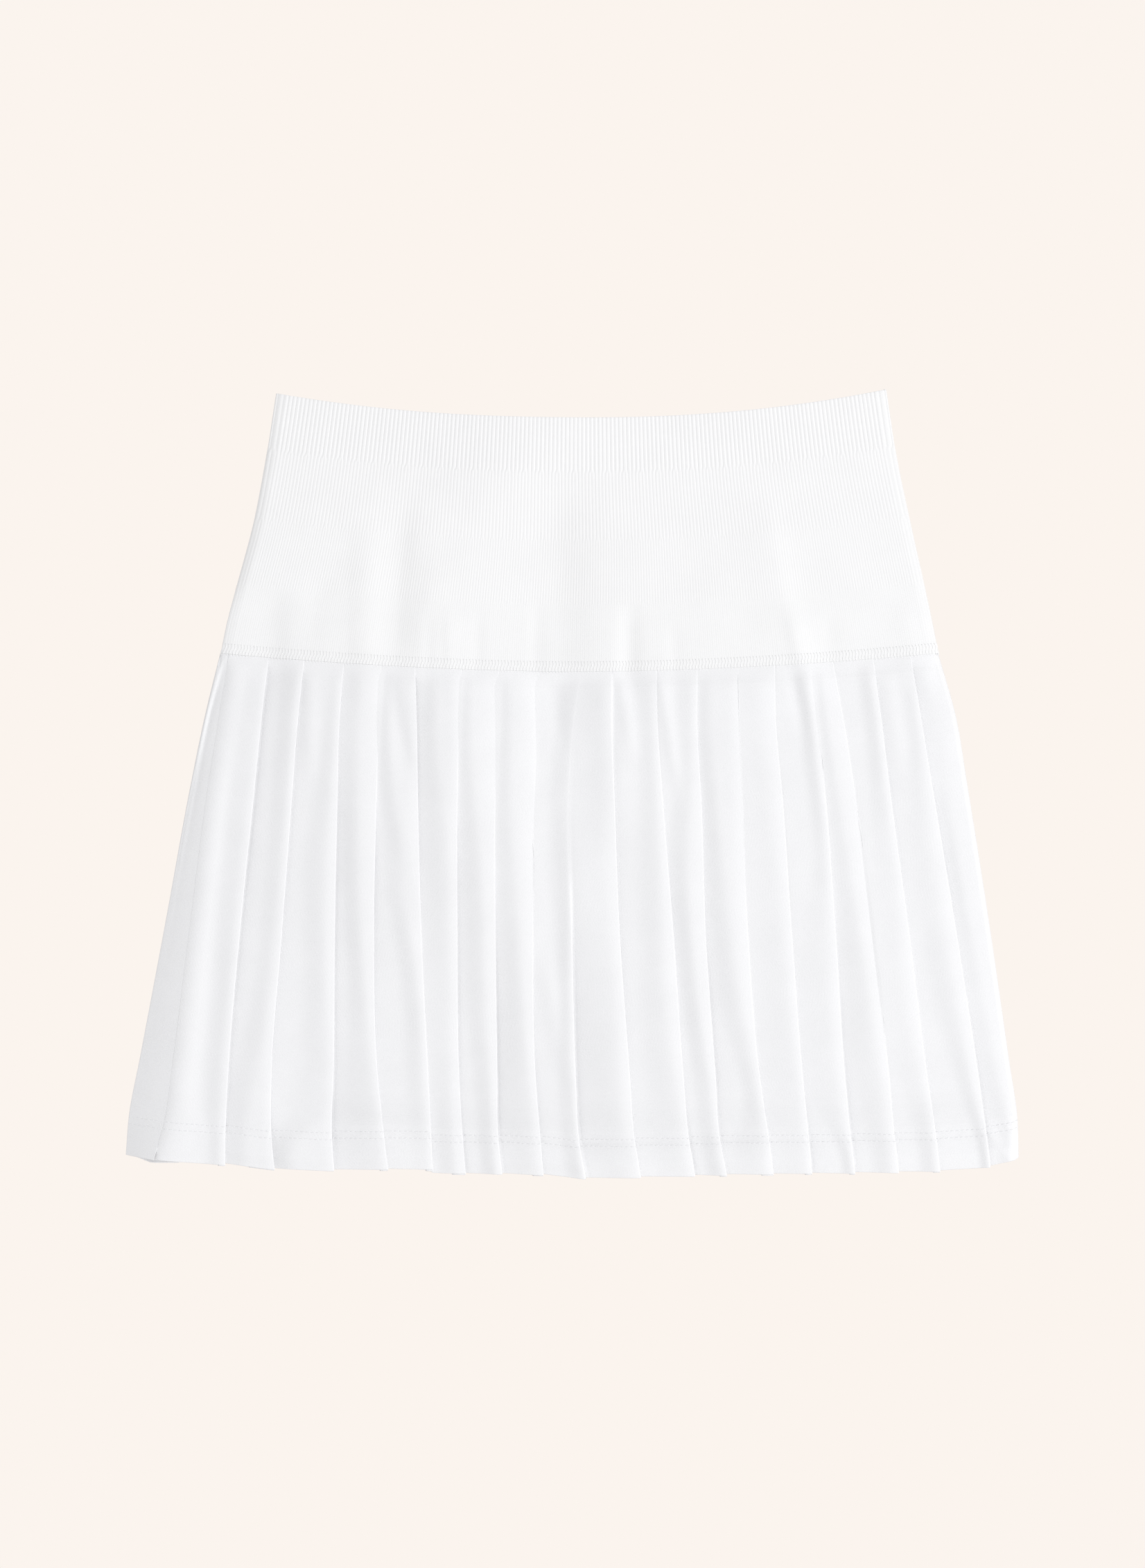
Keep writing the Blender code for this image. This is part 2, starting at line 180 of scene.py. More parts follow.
# %% Creases as bells along lines
KNIT_CREASES = table(
    "x1 y1 x2 y2 left right rise",
    (-12, 190, -8, 30, 36, 18, -3),
    (31, 104, 31, 46, 6, 6, -1.4),
    (-92, 168, -100, 50, 12, 8, -1.7),
    (-113, 140, -114, 44, 22, 10, 0.8),
    (-74, 134, -82, 46, 7, 14, 0.8),
    (-185, 120, -190, 30, 30, 38, -2.4),
    (-165, 112, -164, 40, 12, 9, -1.4),
    (-136, 124, -147, 60, 9, 8, -0.7),
    (102, 164, 124, 44, 22, 10, 1.5),
    (118, 100, 130, 48, 5, 8, 1.1),
    (178, 105, 192, 52, 7, 7, 0.6),
    (-30, 230, -36, 130, 32, 50, 1.8),
    (55, 92, 56, 50, 4, 5, -0.4),
    (-68, 100, -66, 50, 3.5, 6, 0.5),
    (75, 124, 78, 58, 12, 14, 0.5),
    (-125, 150, -124, 40, 12, 7, -0.9),
    (-79, 100, -79, 50, 3.5, 4, -0.45),
    (-52, 100, -52, 50, 4, 4, -0.35),
    (-20, 104, -20, 50, 4, 5, -0.45),
    (140, 100, 142, 50, 5, 5, -0.3),
)
SKIRT_CREASES = table(
    "x1 y1 x2 y2 left right rise",
    (-143, 76, -144, -4, 3.4, 3.4, 0.7),
    (-104, 76, -87, -6, 6, 4.2, -1.2),
    (-16, 76, -2, 6, 5, 5, -0.6),
    (-8, 110, 4, -70, 30, 18, -2.6),
    (-12, -6, -7, -112, 14, 8, -1.5),
    (22, 80, 26, -40, 9, 9, 1.2),
    (25, 74, 33, 10, 3.2, 3.2, 1),
    (46, 74, 59, -14, 3.2, 3.2, 0.9),
    (115, 80, 131, 14, 3.6, 3.6, -0.8),
    (170, 70, 180, 0, 4.5, 4.5, 0.6),
    (-103, -4, -86, -86, 4.5, 4.5, -0.7),
    (-18, -85, -1, -170, 5, 6, 0.8),
    (183, 86, 186, 44, 4, 4.5, -0.9),
    (-19.5, 70, -18, -20, 2.5, 6, -0.4),
    (224, -182, 240, -210, 3.5, 4, 0.6),
)


def crease_rise(x, y, creases):
    """Sum of the creases: each is its rise, times e to the minus square of the distance across its
    line over the width of that side, times an ease in over its first third and out over its last
    third."""
    rise = np.zeros(np.broadcast(x, y).shape)
    for crease in creases:
        run_x, run_y = crease.x2 - crease.x1, crease.y2 - crease.y1
        length = np.hypot(run_x, run_y)
        along = ((x - crease.x1) * run_x + (y - crease.y1) * run_y) / length**2
        across = ((y - crease.y1) * run_x - (x - crease.x1) * run_y) / length
        wide = np.where(across < 0, crease.left, crease.right)
        rise += crease.rise * np.exp(-((across / wide) ** 2)) * ease(3 * along) * ease(3 - 3 * along)
    return rise


print(len(KNIT_CREASES), "creases in the knit and", len(SKIRT_CREASES), "in the pleats")

# %% [markdown]
# ## From a grid to a mesh
#
# Every piece of cloth here is a grid of points that closes on itself: down the outside, round the
# edge, up the inside and round the other edge. One helper turns such a grid into a mesh. It numbers
# the points, makes a face of each four neighbours, and lays the cloth's own flat coordinates on it
# as a UV map, which the weave follows.


# %% One helper for all the cloth
def add_mesh(name, points, faces, uv=None):
    """A smooth mesh object from points in millimetres and faces, with its place in its mesh."""
    mesh = bpy.data.meshes.new(name)
    mesh.from_pydata((np.asarray(points) * MM).tolist(), [], [list(face) for face in faces])
    mesh.shade_smooth()
    if uv is not None:
        mesh.uv_layers.new(name="Cloth").data.foreach_set("uv", np.asarray(uv, np.float32).ravel())
    piece = bpy.data.objects.new(name, mesh)
    bpy.context.scene.collection.objects.link(piece)
    return piece


def closed_grid(name, points, uv, ring):
    """A grid of rows and columns whose last row joins its first. With ring, the last column joins
    the first too. Without it, the grid's two sides are closed by a strip between its outside and
    its inside.
    """
    rows, columns = points.shape[:2]
    spans = columns if ring else columns - 1
    row, column = np.indices((rows, spans)).reshape(2, -1)
    corners = [(row, column), (row + 1, column), (row + 1, column + 1), (row, column + 1)]
    quads = np.stack([(r % rows) * columns + c % columns for r, c in corners], axis=1)
    places = np.stack([uv[r % rows, np.minimum(c, uv.shape[1] - 1)] for r, c in corners], axis=1)
    faces, places = quads.tolist(), places.reshape(-1, 2)
    if not ring:
        half = rows // 2 - 1
        down = np.arange(half - 1)
        for side, turn in ((0, 1), (columns - 1, -1)):
            strip = np.stack([down, 2 * half - down, 2 * half - 1 - down, down + 1], axis=1)
            ends = [(2 * half + 1, 2 * half, 0), (half - 1, half + 1, half)]
            closing = strip.tolist() + [list(end) for end in ends]
            faces += [[k * columns + side for k in face[::turn]] for face in closing]
            places = np.concatenate([places] + [uv[face[::turn], side] for face in closing])
    return add_mesh(name, points.reshape(-1, 3), faces, places)


def facing(points):
    """Unit normals of a grid, from the cross product of its two directions."""
    normals = np.cross(np.gradient(points, axis=0), np.gradient(points, axis=1))
    return normals / np.maximum(np.linalg.norm(normals, axis=-1, keepdims=True), 1e-9)


def triangles(piece):
    """How many triangles the piece has."""
    return sum(len(face.vertices) - 2 for face in piece.data.polygons)


x, y = np.meshgrid((0.0, 1.0), (1.0, 0.0))
print("A level grid, counted down and to the right, faces", facing(np.stack([x, y, 0 * x], axis=-1))[0, 0])

# %% [markdown]
# ## The yoke's ribs
#
# A seamless yoke is knitted as a tube, and every rib is a column of stitches that stands proud of
# its neighbours. Towards the hip the machine brings in more needles: of four ribs one forks, so
# that there are five, then three become four, and four again become finer ones. A displacement
# texture would blur those forks, so the ribs are worked out here: each is a small arch, its middle
# slides from its place in the coarse zone to its place in the fine one, and where two arches
# overlap the higher one counts.

# %% Ribs that fork
RIBS_AT_WAIST = 150
RIB_ZONES = table(
    "starts ribs depth",
    (0.000, RIBS_AT_WAIST, 0.31),
    (0.215, RIBS_AT_WAIST * 5 / 4, 0.19),
    (0.482, RIBS_AT_WAIST * 5 / 3, 0.13),
    (0.736, RIBS_AT_WAIST * 20 / 9, 0.11),
)
FORK_HEIGHT = 0.020  # share of the yoke's height in which a rib forks
FORKS = (4, 3, 3)  # so many ribs of a zone become one more in the next
TAKES_OVER = 0.12  # a zone's arches are used from so far above the middle of the zone


def forked_ribs(place, group, apart):
    """Height of ribs from 0 to 1, where place counts ribs and apart goes from 0, all whole, to 1,
    one of each group split in two. A rib is an arch: one less the square of the distance from its
    middle."""
    inside = place - group * np.floor(place / group)
    half = 0.5 + (0.5 * group / (group + 1) - 0.5) * apart
    height = np.zeros(np.broadcast(inside, apart).shape)
    for k in range(-1, group + 2):
        whole = k + 0.5 if k <= group // 2 else k - 0.5
        split = (k + 0.5) * group / (group + 1)
        middle = whole + (split - whole) * apart
        height = np.maximum(height, 1 - ((inside - middle) / half) ** 2)
    return height


def rib_relief(across, share):
    """How far the knit lies under its crests, in millimetres, at a place across the front and a
    share of the height: the depth of the zone, times what the arches leave."""
    relief = np.zeros(np.broadcast(across, share).shape)
    for zone, after, group in zip(RIB_ZONES, RIB_ZONES[1:], FORKS):
        apart = ease((share - after.starts) / FORK_HEIGHT + 0.5)
        depth = zone.depth + (after.depth - zone.depth) * apart
        ribs = depth * (1 - forked_ribs(zone.ribs * (across - 0.5), group, apart))
        here = share > (zone.starts + after.starts) / 2 - TAKES_OVER
        relief = np.where(here | (zone is RIB_ZONES[0]), ribs, relief)
    return relief


print("Ribs across the front, zone by zone:", [round(zone.ribs) for zone in RIB_ZONES])

# %% [markdown]
# ## The yoke
#
# The tube is laid flat, so its section is a long flat loop with rounded sides: level above, flat on
# the table below. The loop is carried down from the waist to the seam along the outline. Ten
# columns to a rib are enough for the arches at the waist, and rows are close only where ribs fork
# and where the seam is.

# %% Sizes of the yoke
YOKE_TOP_WAIST, YOKE_TOP_SEAM = 4.6, 6.8  # top of the upper layer over the table
EDGE_REACH, EDGE_POWER = 6.0, 1.5  # where the knit starts to sink towards an edge, and how it bends
EDGE_FALLS = table("waist more_at_seam", (1.3, 1.3), (0.5, 0.4))  # how far it sinks, left and right
EDGE_TURN, EDGE_UNDER = 1.1, 2.2  # how wide the edge turns above its widest place, and below
EDGE_LOW = 0.4  # share of the height where it is widest
KNIT_WALL = 1.5
FRONT_COLUMNS, BACK_COLUMNS = 10 * RIBS_AT_WAIST, 196
TURN_COLUMNS, SINK_COLUMNS, UNDER_COLUMNS = 9, 15, 6
BAND_START, BAND_EASES = 0.958, 0.014  # where the flatlock band starts, and the ribs fade out
BAND_SUNK = 0.45  # how deep the band is pressed into the knit underneath
WAIST_ROUND, WAIST_ROUNDS, WAIST_RIM = 0.12, 0.006, 0.06  # how deep and how soon it rounds off
FOOT_ROUND, FOOT_ROUNDS = 0.02, 0.002

OUTSIDE_SHARES = in_steps(
    (0.0, 0.0012, 0.003, WAIST_ROUNDS),
    (
        (0.035, 0.200, 4),
        (0.2075, 0.2225, 5),
        (0.245, 0.456, 5),
        (0.4745, 0.4895, 5),
        (0.512, 0.710, 5),
        (0.7285, 0.7435, 5),
        (0.765, 0.950, 7),
    ),
    (BAND_START, 0.965, 0.972, 0.986, 1 - FOOT_ROUNDS, 0.9997, 1.0),
)
INSIDE_SHARES = np.array((1.0, 0.94, 0.75, 0.5, 0.25, 0.0))
print(OUTSIDE_SHARES.size, "rows down the outside and", INSIDE_SHARES.size, "up the inside")

# %% [markdown]
# The smooth tube comes first, with its creases but without its ribs. The same function later tells
# the pleats and the flatlock seam where the yoke's foot is, so that they meet it.


# %% The smooth knit
def loop_template():
    """The loop's columns: their places in from an edge and up its turn, across it, and below."""
    turn = np.linspace(0, np.pi / 2, TURN_COLUMNS, endpoint=False)
    sink = np.linspace(EDGE_TURN, EDGE_REACH, SINK_COLUMNS, endpoint=False)
    edge_in = np.concatenate([EDGE_TURN * (1 - np.cos(turn)), sink])
    edge_up = np.concatenate([np.sin(turn), np.ones(SINK_COLUMNS)])
    level = np.linspace(0, 1, FRONT_COLUMNS - 2 * edge_in.size + 1)
    under = np.linspace(0, np.pi / 2, UNDER_COLUMNS, endpoint=False)[1:]
    return edge_in, edge_up, level, under, np.linspace(0, 1, BACK_COLUMNS)


def knit_loop(share):
    """X, Y and Z of the smooth knit, without ribs, once round for each share of the height.

    Towards an edge the knit sinks by the 1.5th power of how far it has come, and there it turns: a
    quarter of an ellipse above and another below. It also gives each column's place across the
    front, and how much it is above.
    """
    share = np.asarray(share, float)[:, None]
    heights = [row.share for row in YOKE_EDGES]
    left = through(heights, [row.left for row in YOKE_EDGES], share[:, 0])[:, None]
    right = through(heights, [row.right for row in YOKE_EDGES], share[:, 0])[:, None]
    top = YOKE_TOP_WAIST + (YOKE_TOP_SEAM - YOKE_TOP_WAIST) * share
    low = EDGE_LOW * top
    edge_in, edge_up, level, under, back = loop_template()
    sinks = (1 - edge_in / EDGE_REACH) ** EDGE_POWER
    left_z, right_z = (
        low + (top - (fall.waist + fall.more_at_seam * share) * sinks - low) * edge_up
        for fall in EDGE_FALLS
    )
    under_x, under_z = EDGE_UNDER * (1 - np.cos(under)), low * (1 - np.sin(under))
    reach = right - left
    x = np.concatenate(
        [
            left + edge_in,
            left + EDGE_REACH + (reach - 2 * EDGE_REACH) * level,
            (right - edge_in)[:, ::-1],
            right - under_x,
            right - EDGE_UNDER - (reach - 2 * EDGE_UNDER) * back,
            (left + under_x)[:, ::-1],
        ],
        axis=1,
    )
    level_z, flat = np.broadcast_to(top, (len(share), level.size)), np.zeros((len(share), BACK_COLUMNS))
    z = np.concatenate([left_z, level_z, right_z[:, ::-1], under_z, flat, under_z[:, ::-1]], axis=1)
    q = between(x, left, right)
    y = waist_y(q) + (seam_y(q) + SEAM_GAP / 2 - waist_y(q)) * share
    upper = np.zeros(x.shape[1])
    upper[: FRONT_COLUMNS + 1] = 1.0
    turning = np.cos(under)
    upper[FRONT_COLUMNS + 1 : FRONT_COLUMNS + 1 + under.size] = turning
    upper[-under.size :] = turning[::-1]
    raised = (upper == 1) * np.clip((z - low) / (top - low), 0, 1)
    z = z + crease_rise(x, y, KNIT_CREASES) * raised
    across = np.clip(np.arange(x.shape[1]) / FRONT_COLUMNS, 0, 1)
    return np.stack([x, y, z], axis=-1), across, upper


print("Once round the loop are", knit_loop([0.0])[1].size, "columns")

# %% [markdown]
# Ribs are pressed into the tube along its normals. A separate mesh for each rib would leave
# hundreds of open edges, and this way the yoke stays one closed shell.


# %% Ribs on the knit
def loop_normals(points):
    """Unit normals that point out of the loop, in the plane across the skirt."""
    run = np.roll(points, -1, axis=1) - np.roll(points, 1, axis=1)
    normals = np.stack([-run[..., 2], np.zeros(run.shape[:2]), run[..., 0]], axis=-1)
    return normals / np.linalg.norm(normals, axis=-1, keepdims=True)


def knit_outside(share):
    """The loop with its ribs, which fade out round the edges' undersides and under the flatlock
    band. Both rims sink by the square of how near they are, so that they look soft."""
    points, across, upper = knit_loop(share)
    normals = loop_normals(points)
    share = np.asarray(share, float)[:, None]
    in_band = ease((share - BAND_START) / BAND_EASES)
    relief = rib_relief(across[None, :], share) * upper * (1 - in_band)
    rims = WAIST_ROUND * np.clip(1 - share / WAIST_ROUNDS, 0, 1) ** 2
    rims = rims + FOOT_ROUND * np.clip(1 - (1 - share) / FOOT_ROUNDS, 0, 1) ** 2
    sunk = BAND_SUNK * (1 - upper) * in_band
    return points - normals * (sunk + relief + rims * upper)[..., None]


outside = knit_outside(OUTSIDE_SHARES)
inside_base, _, _ = knit_loop(INSIDE_SHARES)
inside = inside_base - loop_normals(inside_base) * KNIT_WALL
waist_rim = (outside[:1] + inside[-1:]) / 2 + np.array((0.0, WAIST_RIM, 0.0))
foot_rim = (outside[-1:] + inside[:1]) / 2
knit_points = np.concatenate([outside, foot_rim, inside, waist_rim])
knit_around = np.arange(knit_points.shape[1] + 1) / FRONT_COLUMNS
knit_down = np.concatenate([OUTSIDE_SHARES, [1.0], INSIDE_SHARES, [0.0]]) * (WAIST_MID - SEAM_MID) * MM
knit_uv = np.stack(np.meshgrid(knit_around, knit_down), axis=-1)
knit_yoke = closed_grid("yoke_ribbed_knit", knit_points, knit_uv, ring=True)
print("Yoke:", knit_points.shape[:2], "points in rows and columns,", triangles(knit_yoke), "triangles")

# %% [markdown]
# ## The pleats, fold by fold
#
# A knife pleat is a Z in the cloth: the panel ends in a fold, runs back under itself, and turns
# again to come out as the next panel. All these folds open to the right. A modifier could repeat
# one pleat, but then all would be alike. These have been worn, and their differences are what makes
# the cloth look soft, so a table has a row for each fold: its X at seven heights from the seam to
# the hem, the Y of its corner at the hem, how far above that the next panel's hem starts, and how
# far above it the cloth folded under ends.

# %% Where the folds are
HEIGHTS = (0.0, 0.12, 0.26, 0.53, 0.81, 0.92, 1.0)
LEFT_EDGE = (-193.0, -201.0, -209.0, -222.7, -237.2, -243.0, -244.8)
SIDE_SEAM = (-188.1, -193.1, -199.2, -208.8, -218.5, -222.7, -228.6)
RIGHT_EDGE = (200.3, 209.7, 216.2, 228.0, 239.2, 243.6, 244.4)
FOLDS = table(
    "seam eighth quarter half lower stitched hem corner step under",
    (-166.3, -170.0, -173.9, -181.5, -188.0, -189.5, -190.0, -208.1, 0.9, -0.5),
    (-146.7, -150.2, -153.2, -158.8, -164.5, -164.7, -163.0, -210.7, 0.7, -0.4),
    (-125.0, -127.5, -128.5, -130.0, -130.7, -131.7, -130.5, -211.5, 0.8, 0.8),
    (-104.5, -106.0, -107.2, -108.6, -106.6, -103.5, -101.0, -210.7, 0.6, -0.6),
    (-86.1, -85.1, -84.6, -82.7, -79.0, -77.5, -76.5, -210.7, -1.8, -0.8),
    (-60.5, -62.0, -63.0, -63.0, -62.0, -60.3, -58.5, -213.0, 0.4, -0.6),
    (-40.4, -40.4, -42.2, -42.2, -41.2, -40.8, -38.6, -213.4, 0.7, -0.3),
    (-18.0, -19.0, -20.8, -21.7, -20.2, -17.8, -16.0, -213.8, 0.6, -0.5),
    (5.0, 0.5, -2.0, -0.4, 1.8, 3.4, 7.0, -216.0, 0.8, -0.9),
    (21.3, 21.4, 22.9, 25.9, 31.5, 33.7, 37.4, -215.3, 0.8, 0.6),
    (45.8, 46.5, 49.3, 55.3, 60.7, 63.3, 67.0, -214.5, 0.9, 0.6),
    (68.2, 68.2, 70.3, 72.8, 78.2, 80.2, 84.4, -214.1, 0.9, -0.5),
    (90.3, 91.0, 92.6, 95.8, 102.4, 106.9, 110.0, -213.4, 0.6, -0.6),
    (110.4, 111.2, 114.7, 119.8, 125.8, 128.8, 131.0, -213.0, 0.5, -0.5),
    (130.2, 133.8, 138.0, 143.8, 148.9, 151.8, 154.5, -213.0, 0.8, -0.8),
    (142.2, 148.3, 154.3, 163.6, 172.8, 175.7, 178.5, -212.6, 0.9, 0.6),
    (164.2, 168.8, 173.6, 183.8, 193.7, 198.2, 201.0, -211.9, 0.7, -0.4),
    (184.7, 190.3, 196.8, 209.3, 221.3, 225.5, 228.5, -209.6, 0.9, 0.6),
)

DOWN = in_steps(
    (0.0, 0.00012, 0.0009, 0.003, 0.007, 0.014, 0.022, 0.032),
    ((0.044, 0.886, 48), (0.900, 0.945, 16), (0.951, 0.993, 10)),
    (0.9965, 0.9988, 1.0),
)
fold_x = through(HEIGHTS, np.array([fold[:7] for fold in FOLDS]).T, DOWN)
side_seam_x, left_x, right_x = (
    through(HEIGHTS, edge, DOWN)[:, None] for edge in (SIDE_SEAM, LEFT_EDGE, RIGHT_EDGE)
)
print(len(FOLDS), "folds, and", len(DOWN), "rows from the seam to the hem")

# %% [markdown]
# Between two folds lies a panel. It comes out low from under the fold before it, climbs on to its
# own cloth that is folded under, and rolls over to its fold. Where it climbs, it faces away from
# the light and looks darker; where it rolls, it is bright. The next table says for each panel, at
# five heights: where it climbs, as a share of its width, over how many millimetres, how long its
# roll is, and how far its fold has fallen open. The one after it gives the slope with which a panel
# comes out, and how much deeper it does so than the layers alone would put it.

# %% How each panel climbs and rolls
PANEL_HEIGHTS = (0.0, 0.12, 0.40, 0.67, 0.88, 0.97, 1.0)
PANELS = table(
    "climb band roll open",
    ((0.7, 0.74, 0.79, 0.8, 0.86), (20, 14, 13, 12, 8), (3, 5, 4.5, 6, 6), (0, 0, 0, 0, 0)),
    ((0.63, 0.7, 0.65, 0.3, 0.25), (11, 13, 14, 14, 12), (3.2, 5, 7, 4.5, 4.5), (0.3, 0, 0, 0, 0)),
    ((0.78, 0.56, 0.66, 0.6, 0.15), (9, 16, 17, 24, 12), (4, 7.5, 7, 4.5, 4.5), (0, 0, 0, 0, 0.5)),
    ((0.28, 0.36, 0.56, 0.6, 0.6), (11, 11, 13, 24, 26), (12, 10, 6, 4, 4), (0.3, 0, 0, 0, 0)),
    ((0.14, 0.42, 0.74, 0.72, 0.8), (7, 12, 12, 12, 14), (4, 12, 4.5, 4, 4), (0, 0, 0, 0, 0)),
    ((0.3, 0.43, 0.35, 0.42, 0.42), (9, 18, 18, 12, 12), (4.5, 7, 6, 6.5, 6.5), (0, 0, 0, 0, 0)),
    ((0.15, 0.38, 0.48, 0.64, 0.64), (7, 13, 13, 11, 11), (13, 9, 8, 5, 5), (0.4, 0, 0, 0, 0.5)),
    ((0.14, 0.27, 0.46, 0.52, 0.52), (7, 12, 14, 18, 18), (12, 9, 7.5, 5, 5), (0, 0.9, 0.1, 0, 0)),
    ((0.76, 0.76, 0.8, 0.85, 0.85), (14, 16, 9, 16, 16), (0.8, 1, 4, 2.4, 2.4), (1, 1, 0.2, 0, 0.6)),
    ((0.4, 0.45, 0.5, 0.55, 0.5), (18, 20, 24, 22, 22), (7, 9, 6.5, 8, 3), (0.8, 0.2, 0, 0, 0)),
    ((0.74, 0.62, 0.55, 0.55, 0.6), (10, 16, 18, 22, 20), (3.5, 6.5, 10, 5, 5), (0.5, 0.05, 0, 0, 0)),
    ((0.66, 0.26, 0.38, 0.62, 0.7), (10, 12, 11, 12, 14), (3.5, 9, 7.5, 4.5, 4.5), (0, 0, 0, 0, 0)),
    ((0.14, 0.26, 0.48, 0.8, 0.5), (9, 12, 15, 16, 22), (6, 8, 9.5, 4.5, 4.5), (0.85, 0.8, 0.4, 0.2, 0.1)),
    ((0.45, 0.45, 0.45, 0.45, 0.45), (34, 34, 34, 34, 34), (12, 8, 6, 4, 4), (0.3, 0.2, 0.1, 0, 0)),
    ((0.72, 0.78, 0.5, 0.67, 0.88), (9, 12, 34, 20, 9), (5, 4.5, 8, 6, 6), (0.9, 0.4, 0, 0, 0.3)),
    ((0.15, 0.3, 0.37, 0.6, 0.72), (6, 10, 20, 20, 18), (11, 8, 8, 7, 7), (0.5, 0.95, 0.95, 0.3, 0)),
    ((0.7, 0.5, 0.38, 0.75, 0.82), (9, 14, 30, 18, 16), (4, 4, 10, 4, 4), (0, 0.1, 0.4, 0, 0)),
    ((0.8, 0.56, 0.53, 0.78, 0.94), (10, 18, 16, 9, 8), (4, 11, 9, 5, 5), (0, 0, 0.2, 0, 0)),
    ((0.3, 0.3, 0.35, 0.5, 0.72), (6, 6, 9, 12, 10), (9, 11, 11, 6, 3.5), (0, 0, 0, 0, 0)),
)
SLANTS = table(
    "slant more",
    ((0, 0, 0, 0, 0), (0, 0.3, 0.9, 0.9, 0.5)),
    ((0.15, 0.14, 0.09, 0.07, 0.05), (0.6, 0, 0, 0, 0)),
    ((0.1, 0.04, 0, 0, 0.05), (0, 0.3, 0.5, 0.2, 0.4)),
    ((0.03, 0.1, 0.07, 0.08, 0.1), (0, 0, 0, 0.9, 1)),
    ((-0.04, 0.06, 0.02, 0, 0), (-0.5, 0, 0, -0.5, -1)),
    ((0.09, 0.04, 0, 0, 0), (0, -0.2, -0.8, -0.2, 0.2)),
    ((-0.09, 0.05, 0.08, 0.04, 0.05), (-0.1, 0, 0, 0, 0.3)),
    ((0, 0, 0.14, 0.16, 0.1), (-1, -0.5, -0.2, 0, 0.4)),
    ((-0.06, 0, 0, 0.06, 0), (-0.5, -0.2, 0, 0, 0.2)),
    ((0, 0.08, 0.2, 0.14, 0.08), (0, -0.7, 0, 0.6, 1)),
    ((0.08, 0.05, 0.03, 0, 0), (0, 0, 0, 0, 0)),
    ((-0.04, 0.02, 0, 0.03, 0.05), (0, 0, 0, 0, 0.5)),
    ((0, 0, 0.08, 0.06, 0.02), (0, 0, 0, 0.4, 0.4)),
    ((0, 0, 0, 0.02, 0.02), (-0.1, -0.1, 0, 0, 0)),
    ((-0.02, 0, 0.04, 0.05, 0.08), (-0.1, -0.7, -0.5, -0.2, 0.3)),
    ((0, 0, 0.05, 0.1, 0.06), (-0.1, 0, 0, 0, 0.9)),
    ((0, 0, 0, 0.02, 0.02), (0, -0.3, -0.3, -0.2, 0)),
    ((0.06, 0.06, 0.02, 0.02, 0), (-0.2, -0.4, 0, 0, 0.3)),
    ((0, 0.05, 0, 0, 0), (0, 0, 0.5, 1.1, 1.1)),
)


def down_the_panel(rows, name):
    """A shape of every panel at every height, from its sizes at a few heights."""
    sizes = np.array([getattr(panel, name) for panel in rows]).T
    return through(PANEL_HEIGHTS, np.concatenate([sizes[:1], sizes, sizes[-1:]]), DOWN)


climb, band, roll = (down_the_panel(PANELS, name) for name in ("climb", "band", "roll"))
opened = np.clip(down_the_panel(PANELS, "open")[:, :-1], 0, 1)
slant, more = (down_the_panel(SLANTS, name) for name in ("slant", "more"))
print("The first panel climbs at", climb[::30, 0].round(2), "of its width")

# %% [markdown]
# ## The skirt's front
#
# At each height the section of the cloth is worked out for all panels at once. A panel's height is
# the sum of two plain curves: an ease up where it climbs, and a square that falls away along its
# roll. Its fold is half an ellipse, and the cloth folded under it keeps one and two layers below
# the panel. Where a fold has fallen open, its points slide to a plain step. Cloth simulation would
# start from a flat pleated sheet and need hundreds of steps to settle five layers. Built from its
# sections, every fold is where it should be.

# %% Sizes of the pleats
CLOTH_WALL, SEAM_WALL = 0.44, 0.30
LAYER, SEAM_LAYER = 0.62, 0.36  # from one layer of a pleat to the next, loose and in the seam
LOOSE_BY, FREED_BY, PARTED_BY = 0.04, 0.12, 0.32  # shares of the height where the seam's hold ends
SEAM_STEP, STEP_GROWS = 0.10, 0.05  # in the seam the panels lie almost level with one another
SEAM_SINKS = 0.08  # so far the pleats' crests lie under the knit's foot
TOP, SEAM_TOP = 7.4, 6.85  # middle of the uppermost layer over the table
SWELL = (0.0, 0.0, 0.2, 0.9, 1.8, 2.2, 2.2)  # how far the pleats pile up towards the left edge
SWELL_WIDE = 70.0
CREST_RISE = (-0.2, -0.4, -0.2, -0.2, 0.0, 0.2, 0.2)  # how far the front's first crest stands over that
CREST_REACH, CREST_SLOPE = 6.5, 0.42  # how far in from the side seam it lies, and how steep it starts
FIRST_DIP = 1.0  # the first panel sinks before it climbs to its fold
LAST_LIES, LAST_SINKS = 1.8, 2.6  # the last panel's level under the top, and its edge's
ROLL_SLOPE = 0.24
EMERGE_DEEP, EMERGE_WIDE = 0.04, 1.8  # a panel comes out from under a fold with a short steep bit
FOLD_UNDER, OUT = 13.0, 0.3  # the most that a pleat is folded under, and where the next panel comes out
OPEN_OUT, OPEN_LEVELS = 1.2, 0.97  # how far it comes out of an open fold, and how level
FOLD_IN, EDGE_IN = 0.2, 2.8  # a panel ends so far in from its fold, or from the right edge
LEAST_CLIMB = 0.2  # of the last panel
LEFT_LOWER, RIGHT_LOWER = 2.3, 1.6  # how far the hem hangs below its two corners

